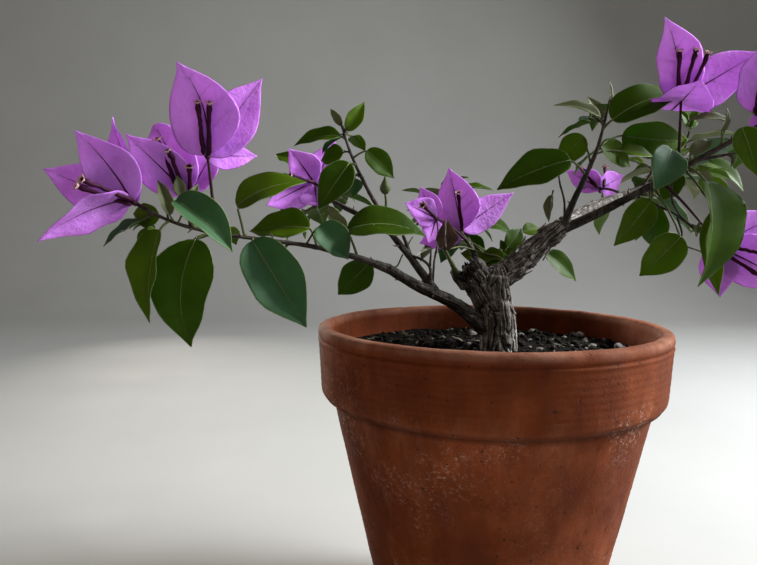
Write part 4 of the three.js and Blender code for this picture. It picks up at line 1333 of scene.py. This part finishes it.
def add_leaf(root, foot, heading, facing, length, wide, tone, **changes):
    """A leaf on its stalk, with raised ribs and pale rims, the rims partly a painted rim highlight. wide is its width
    as a share of its length.
    """
    form = {"fold": 0.25, "ripple": 0.06, **changes}
    blade = Blade(foot, heading, facing, length, length * wide, LEAF_FORM, **form)
    LEAVES[tone].add(blade.skin())
    fine = min(1.0, length / 30)
    RIBS.add(blade.rib(np.linspace(0.0, 0.97, 10), np.zeros(10), np.linspace(0.46, 0.16, 10) * fine + 0.04))
    for shape in blade.side_ribs(0.29 * fine + 0.02):
        RIBS.add(shape)
    # Pale rims along both edges: partly the leaf's pale margin, partly a painted rim highlight
    for hand in (-1, 1):
        RIBS.add(blade.edge(0.2 * fine + 0.02, hand))
    stalk = bent(root, foot, 0.12)
    stalk[-1] = foot + heading * 0.6
    SHOOTS.add(tube(stalk, np.linspace(0.72, 0.5, len(stalk)) * (0.6 + 0.4 * fine), 6))


def add_placed_leaves(name):
    rows = [row[1:] for row in PLACED_LEAVES if row[0] == name]
    for k, (at, x, y, z, swing, lean, turn, length, wide, tone, changes) in enumerate(rows):
        root, heading = LIMBS[name].at(at), heading_of(swing, lean)
        add_leaf(root, root + np.array([x, y, z]), heading, facing_of(heading, turn), length, wide, tone,
                 phase=1.7 * k, **changes)
        add_bud(root, unit(heading + UP), 0.55)


def rule_leaves(root, tip, way, rule, draw):
    """The source's rule for the leaves on one side twig."""
    leaves = []
    for k in range(rule["leaves"]):
        share = (k + 1) / rule["leaves"]
        level = unit(np.cross(way, UP))
        hand = (1 if k % 2 else -1) * (0.25 if k == rule["leaves"] - 1 else 1)
        heading = way * 0.55 + level * hand
        heading[2] += -0.25 + spread(draw, 0.3)
        heading = unit(heading)
        start = root + (tip - root) * share
        facing = square_to(np.array([spread(draw, 0.5), spread(draw, 0.5) - 0.2, 1.0]), heading)
        length = rule["leaf"] * (1.05 - 0.25 * share + spread(draw, 0.12))
        leaves.append((start, start + heading * RULE_STALK, heading, facing, length))
    return leaves


def rule_twigs(limb, rule):
    """The source's rule for side twigs, turned by the golden angle along a stem."""
    draw = make_draws(rule["seed"])
    for i in range(rule["twigs"]):
        share = rule["from"] + (1 - rule["from"]) * (i + 0.7) / rule["twigs"]
        root, along = limb.at(share), limb.way(share)
        turn = math.radians(i * GOLDEN_TURN + spread(draw, 20))
        side = unit(np.cross(UP, along))
        out = around(side, unit(np.cross(along, side)), turn)
        way = unit(out + rule["way"] + along * 0.5)
        tip = root + way * rule["long"] * (1 - 0.3 * share + spread(draw, 0.15))
        yield root, tip, way, rule_leaves(root, tip, way, rule, draw)


def grown_form(rng):
    """Small differences in how a leaf bends, folds and waves."""
    return {"bend": rng.uniform(0.3, 0.75), "fold": rng.uniform(0.15, 0.45), "twist": rng.normal(0, 0.2),
            "bow": rng.normal(0, 0.025), "ripple": rng.uniform(0.02, 0.12), "phase": rng.uniform(0, 6)}


def tree_of(shapes):
    """A search tree of the faces of shapes, for what they touch."""
    points, faces, count = [], [], 0
    for spots, *groups in shapes:
        points.append(spots)
        faces += [tuple(int(i) + count for i in face) for group in groups for face in group]
        count += len(spots)
    return BVHTree.FromPolygons(np.concatenate(points).tolist(), faces)


def leaf_touches(foot, heading, facing, length, standing):
    """Whether a plain leaf in this place runs into what stands already."""
    blade = Blade(foot, heading, facing, length, length * 0.6, LEAF_FORM)
    u, v = np.meshgrid(np.linspace(0.05, 0.97, 7), np.linspace(-1, 1, 5), indexing="ij")
    return bool(tree_of([(blade.at(u, v).reshape(-1, 3), grid_faces(7, 5, False))]).overlap(standing))


def add_rule_twigs(name, standing):
    rule = TWIG_RULES[name]
    rng = np.random.default_rng(rule["seed"])
    for root, tip, way, leaves in rule_twigs(LIMBS[name], rule):
        points = bent(root, tip, 0.12, 9)
        points[1:-1] += rng.normal(0, 0.16, (7, 3))
        if tree_of([tube(points, np.full(9, 0.7), 5)]).overlap(standing):
            continue
        STEMS.add(twig_skin(points, np.linspace(0.85, 0.5, 9), rng, 7))
        add_bud(tip, way, 0.6)
        for start, foot, heading, facing, length in leaves:
            if not leaf_touches(foot, heading, facing, length, standing):
                tone = rng.choice(list(TONE_SHARES), p=list(TONE_SHARES.values()))
                add_leaf(start, foot, heading, facing, length, 0.6, tone, **grown_form(rng))
                add_finer_twig(start, way, heading, length, rng, standing)


def add_finer_twig(start, way, heading, length, rng, standing):
    """A shoot from a leaf's axil, with one or two young leaves."""
    out = unit(way * 0.8 + heading * 0.35 + rng.normal(0, 0.25, 3))
    tip = start + out * (rng.uniform(0.18, 0.34) * length)
    SHOOTS.add(tube(bent(start, tip, 0.1), np.linspace(0.42, 0.26, 7), 5))
    add_bud(tip, out, 0.34)
    for hand in (-1, 1):
        if rng.uniform() < 0.35:
            continue
        side = unit(np.cross(out, UP))
        ahead = unit(out * 0.8 + side * hand * 0.8 + UP * rng.uniform(-0.2, 0.4))
        face = square_to(UP + rng.normal(0, 0.3, 3), ahead)
        size = length * rng.uniform(0.26, 0.42)
        if not leaf_touches(tip + ahead * 1.5, ahead, face, size, standing):
            tone = "young" if rng.uniform() < 0.45 else "fresh"
            add_leaf(tip, tip + ahead * 1.5, ahead, face, size, 0.52, tone,
                     bend=0.5, fold=rng.uniform(0.3, 0.7))


# Blooms: papery bracts round slender flower tubes with pale star mouths

BRACTS = Piece("bracts", BRACT, "bract")
BRACT_RIBS = Piece("bract_ribs", BRACT_RIB, "bract")
BRACT_VEINS = Piece("bract_veins", BRACT_VEIN, "bract")
FLOWER_TUBES = Piece("flower_tubes", TUBE_SKIN, "bract")
STARS = Piece("flower_stars", STAR, "bract")
BLOOM_STALKS = Piece("bloom_stalks", BLOOM_STALK, "bract")
BRACT_LAYER = 1.1
TUBE_GAP = 2.3
TUBE_SHARES = (0, 0.05, 0.3, 0.5, 0.8, 0.93, 1)
TUBE_RADII = (0.5, 1.0, 1.0, 0.78, 0.85, 1.25, 0.95)


def add_bract(foot, heading, facing, length, width, rng, changes):
    form = {"bend": rng.uniform(-0.4, -0.1), "fold": 0.24, "twist": rng.normal(0, 0.06),
            "bow": rng.normal(0, 0.02), "ripple": rng.uniform(0.05, 0.1), "phase": rng.uniform(0, 6),
            "curl": rng.uniform(-0.2, 0.25)}
    blade = Blade(foot, heading, facing, length, width, BRACT_FORM, **{**form, **changes})
    BRACTS.add(blade.skin())
    BRACT_RIBS.add(blade.rib(np.linspace(0, 0.84, 12), np.zeros(12), np.linspace(0.66, 0.13, 12), 5))
    for k, shape in enumerate(blade.side_ribs(0.26, 0.75, 7)):
        (BRACT_RIBS if k < 2 else BRACT_VEINS).add(shape)


def add_flower(foot, heading, facing, length, rng):
    """A five-ribbed tube in front of its bract, that ends in a small star."""
    t = np.linspace(0, 1, 14)
    points = foot + heading * (t * length)[:, None] + facing * (1.5 + 0.3 * length * t)[:, None]
    points += rng.normal(0, 0.1, (14, 3))
    profile = np.interp(t, TUBE_SHARES, TUBE_RADII)
    FLOWER_TUBES.add(tube(points, profile[:, None] * (1 + 0.14 * np.cos(5 * angles_of(15)))[None, :], 15))
    way = unit(points[-1] - points[-3])
    across = unit(np.cross(way, facing))
    opened = rng.uniform(0.35, 0.75)
    for k in range(5):
        out = around(across, np.cross(way, across), 2 * math.pi * (k + 0.3) / 5)
        ahead = unit(way * (1 - opened) + out * opened)
        STARS.add(Blade(points[-1] + out * 0.7, ahead, square_to(way, ahead), 2.1, 1.9, STAR_FORM,
                        bend=0.9, fold=0.3).skin())
    FLOWER_TUBES.add(stone(rng, points[-1] + way * 0.5, 1.05, 1.0, 0.3))


def add_bloom(name):
    limb, at, foot, parts = BLOOMS[name]
    rng = np.random.default_rng(400 + sum(map(ord, name)))
    stalk = bent(LIMBS[limb].at(at), foot, 0.12, 14)
    BLOOM_STALKS.add(twig_skin(stalk, np.linspace(0.85, 0.62, 14), rng, 8, 0.04))
    way = unit(stalk[-1] - stalk[-2])
    add_bud(foot - way * 2.0, way, 1.25, BLOOM_STALKS)
    for i, (swing, lean, turn, length, wide, changes) in enumerate(parts["bract"]):
        heading = heading_of(swing, lean)
        facing = facing_of(heading, turn)
        start = foot - facing * BRACT_LAYER * i - heading * changes.pop("start", 0)
        add_bract(start, heading, facing, length, length * wide, rng, changes)
    for i, (swing, lean, length, _) in enumerate(parts["tube"]):
        heading = heading_of(swing, lean)
        facing = facing_of(heading, 0)
        aside = np.cross(heading, facing) * TUBE_GAP * (i - (len(parts["tube"]) - 1) / 2)
        add_flower(foot + aside, heading, facing, length, rng)


# Single twigs that the photograph shows: a kind, first and last radius, and points
SINGLE_TWIGS = table("""
shoot .8 .5  10.7 10 188.6  7.4 16 193.7  1 24 195.5  -4.9 30 197.5  -8.3 35 203  -11.5 38 208.1
shoot .5 .35  -4.9 30 197.5  -12.2 26 199.3  -20.8 12 198.5
shoot 1.5 .8  -17 -3 185  -21 -6 191.4  -24.9 -8 198.6
twig .6 .45  -31.1 -12 183  -30.5 -10 192.5  -28.3 0 200.4  -26.8 12 207.6  -26.6 23 214.7
twig 1 .6  -32.9 -16 183.8  -32.9 -15 189.8  -35.9 -15 193.3  -41.4 -14 195.7
twig .8 .3  -32.9 -15 190.8  -32.4 -14 198.7
twig 1.3 .7  -42.8 -12 195.1  -44.9 -12 202.1  -46.9 -12 207.1
shoot .5 .3  -44.4 -12 200.6  -41.8 -10 204.6
shoot .5 .35  -57.9 -22 192  -53.9 -18 191.8  -49.9 -15 190.2  -46.9 -13 195.6
shoot .75 .6  -55.6 -12 215.5  -55.1 -14 222  -55.6 -14 227
twig .8 .4  38.6 3 213  37.7 2 224.7  35.1 1 232.8  33.9 1 240
twig .8 .5  72.9 -6 226.1  84.2 -8 221  90.6 -10 217.5  99.6 -12 210
twig .7 .45  86.6 -14 234.5  88.4 -11 224.5  91.8 -12 217.5  99.6 -12 211
twig .6 .4  91.3 -11 216  94.1 -11 207.5  93.7 -10 203.4  106 -8 198.4
twig .8 .5  97.6 -20 243.5  106.3 -22 245.3  120.5 -24 248
twig .8 .6  110.1 -22 246.3  112.1 -23 244.3  111.7 -23 241.9
shoot .5 .4  36.1 8 204  33 12 199  31.3 14 196.6
""")
# Single small leaves: foot, tip, turn, width share, tone
SINGLE_LEAVES = table("""
31.3 14 196.6  52.3 16 183.1  -30 .5 deep
9.9 18 192.5  -7.1 30 193  40 .7 fresh
9.9 18 192  1.1 26 182  0 .8 deep
12.6 24 194.5  10.1 26 204  20 .7 fresh
12.6 24 199  22.2 28 210.4  0 .75 deep
22.4 30 207.8  33.9 34 211.1  -30 .7 fresh
30.6 -1 227  27 -2 214  60 .5 young
-146 -54 223  -147 -55 232  20 .6 young
""")
UPPER_BUD = np.array([-55.6, -14, 226.5])
TUFT_PLACE = np.array([101, -12, 210.0])


def add_single_twigs():
    """Single twigs with buds, single leaves, one large bud and a tuft of tiny leaves."""
    rng = np.random.default_rng(617)
    for kind, first, last, *spots, _ in SINGLE_TWIGS:
        line = Line(np.reshape(spots, (-1, 3)))
        rows = max(6, int(line.length / 1.2))
        points = line.at(np.linspace(0, 1, rows))
        piece = STEMS if kind == "twig" else SHOOTS
        piece.add(twig_skin(points, np.linspace(first, last, rows), rng, 8, 0.1))
        add_bud(points[-1], line.way(1.0), last * 1.15)
    for *ends, turn, wide, tone, _ in SINGLE_LEAVES:
        foot = np.array(ends[:3])
        chord = np.array(ends[3:]) - foot
        heading = unit(chord)
        add_leaf(foot - heading * 2.5, foot, heading, facing_of(heading, turn),
                 float(np.linalg.norm(chord)) * 1.03, wide, tone, fold=0.35)
    add_bud(UPPER_BUD, UP, 2.7)
    for k in range(6):
        turn = math.radians(60 * k + 20)
        heading = unit(np.array([math.cos(turn), -0.4, math.sin(turn)]))
        SHOOTS.add(Blade(TUFT_PLACE, heading, facing_of(heading, 0), 4.2, 1.6, STRIP_FORM).skin())


def make_dry_bract():
    """A brown bract of two halves, folded along its midrib, beside the stump."""
    dry = Piece("dry_bract", DRY, "bract")
    midrib = unit(np.array([-2.8, 0, 15.7]))
    for foot, heading, turn, hand, length, width, fold, curl in (
            ((-24.3, -8, 198.6), midrib, 30, 1, 17, 14, 1.0, -0.6),
            ((-24.6, -7, 198.6), unit(np.array([0.5, 0.3, 15])), 10, -1, 16, 12, 0.9, 0.0)):
        dry.add(Blade(np.array(foot), heading, facing_of(midrib, turn) * hand, length, width, BRACT_FORM,
                      bend=-0.2, fold=fold, curl=curl, ripple=0.12, quilt=0.05).skin())
    dry.build("bloom_centre_low")


def make_plant():
    for name in BLOOMS:
        add_bloom(name)
    for name in TWIG_RULES:
        add_stem(name)
        add_placed_leaves(name)
    limbs = [bough_shape(limb) for limb in LIMBS.values()]
    bracts = (np.concatenate(BRACTS.points), np.concatenate(BRACTS.quads))
    standing = tree_of([bracts, trunk_shape(), *limbs])
    for name in TWIG_RULES:
        add_rule_twigs(name, standing)
    add_single_twigs()
    make_dry_bract()
    for piece in (*LEAVES.values(), RIBS, STEMS, SHOOTS):
        piece.build(*[f"{name}_spray" for name in TWIG_RULES])
    for piece in (BRACTS, BRACT_RIBS, BRACT_VEINS, FLOWER_TUBES, STARS, BLOOM_STALKS):
        piece.build(*BLOOMS)


make_plant()


# Stage: a pale sweep of floor, a large soft key from the right and weaker fills, in metres

SWEEP_NEAR, SWEEP_FAR, SWEEP_TOP, SWEEP_SIDE = -2.5, 1.2, 3.0, 4.0
SWEEP_ROUND = 0.6
ROOM_COLOR, ROOM_STRENGTH = (1.0, 0.86, 0.7, 1), 0.11
# Lights: name, place, height that they aim at, size, power, colour, spread
LIGHTS = (
    ("key", (1.15, 0.15, 0.9), 0.17, 0.6, 42, (0.92, 0.97, 1.0), 160),
    ("sky", (1.1, -0.55, 0.9), 0.17, 0.9, 5.5, (0.75, 0.92, 1.0), 180),
    ("back", (-0.5, 1.0, 0.4), 0.25, 0.7, 2.2, (1.0, 0.93, 0.8), 60),
    ("fill", (-0.9, -1.2, 0.7), 0.17, 1.2, 2.4, (1.0, 0.9, 0.78), 180),
)


def make_floor():
    turns = np.linspace(0, math.pi / 2, 24)
    bend = [(SWEEP_FAR + SWEEP_ROUND * math.sin(a), SWEEP_ROUND - SWEEP_ROUND * math.cos(a)) for a in turns]
    profile = [(SWEEP_NEAR, 0.0), *bend, (SWEEP_FAR + SWEEP_ROUND, SWEEP_TOP)]
    points = [(x, y, z) for y, z in profile for x in (-SWEEP_SIDE, SWEEP_SIDE)]
    faces = [(2 * k, 2 * k + 1, 2 * k + 3, 2 * k + 2) for k in range(len(profile) - 1)]
    mesh = bpy.data.meshes.new("floor")
    mesh.from_pydata(points, [], faces)
    smooth(mesh)
    mesh.materials.append(FLOOR_PAINT)
    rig.stage(put("floor", mesh))


def add_light(name, place, aim, size, power, color, spread_angle):
    data = bpy.data.lights.new(name, "AREA")
    data.shape, data.size, data.energy, data.color = "DISK", size, power, color
    data.spread = math.radians(spread_angle)
    light = put(name, data)
    light.location = place
    light.rotation_euler = (Vector((0, 0, aim)) - light.location).to_track_quat("-Z", "Y").to_euler()


def make_room():
    world = bpy.data.worlds.new("room")
    world.use_nodes = True
    sky = world.node_tree.nodes["Background"].inputs
    sky["Color"].default_value, sky["Strength"].default_value = ROOM_COLOR, ROOM_STRENGTH
    bpy.context.scene.world = world
    bpy.context.scene.view_settings.view_transform = "Standard"


make_floor()
for light in LIGHTS:
    add_light(*light)
make_room()

with open("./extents.json", "w") as out:
    boxes = {"cad": [list(corner) for corner in cad_box], "visual": [list(corner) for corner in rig.bounds()]}
    json.dump(boxes, out)
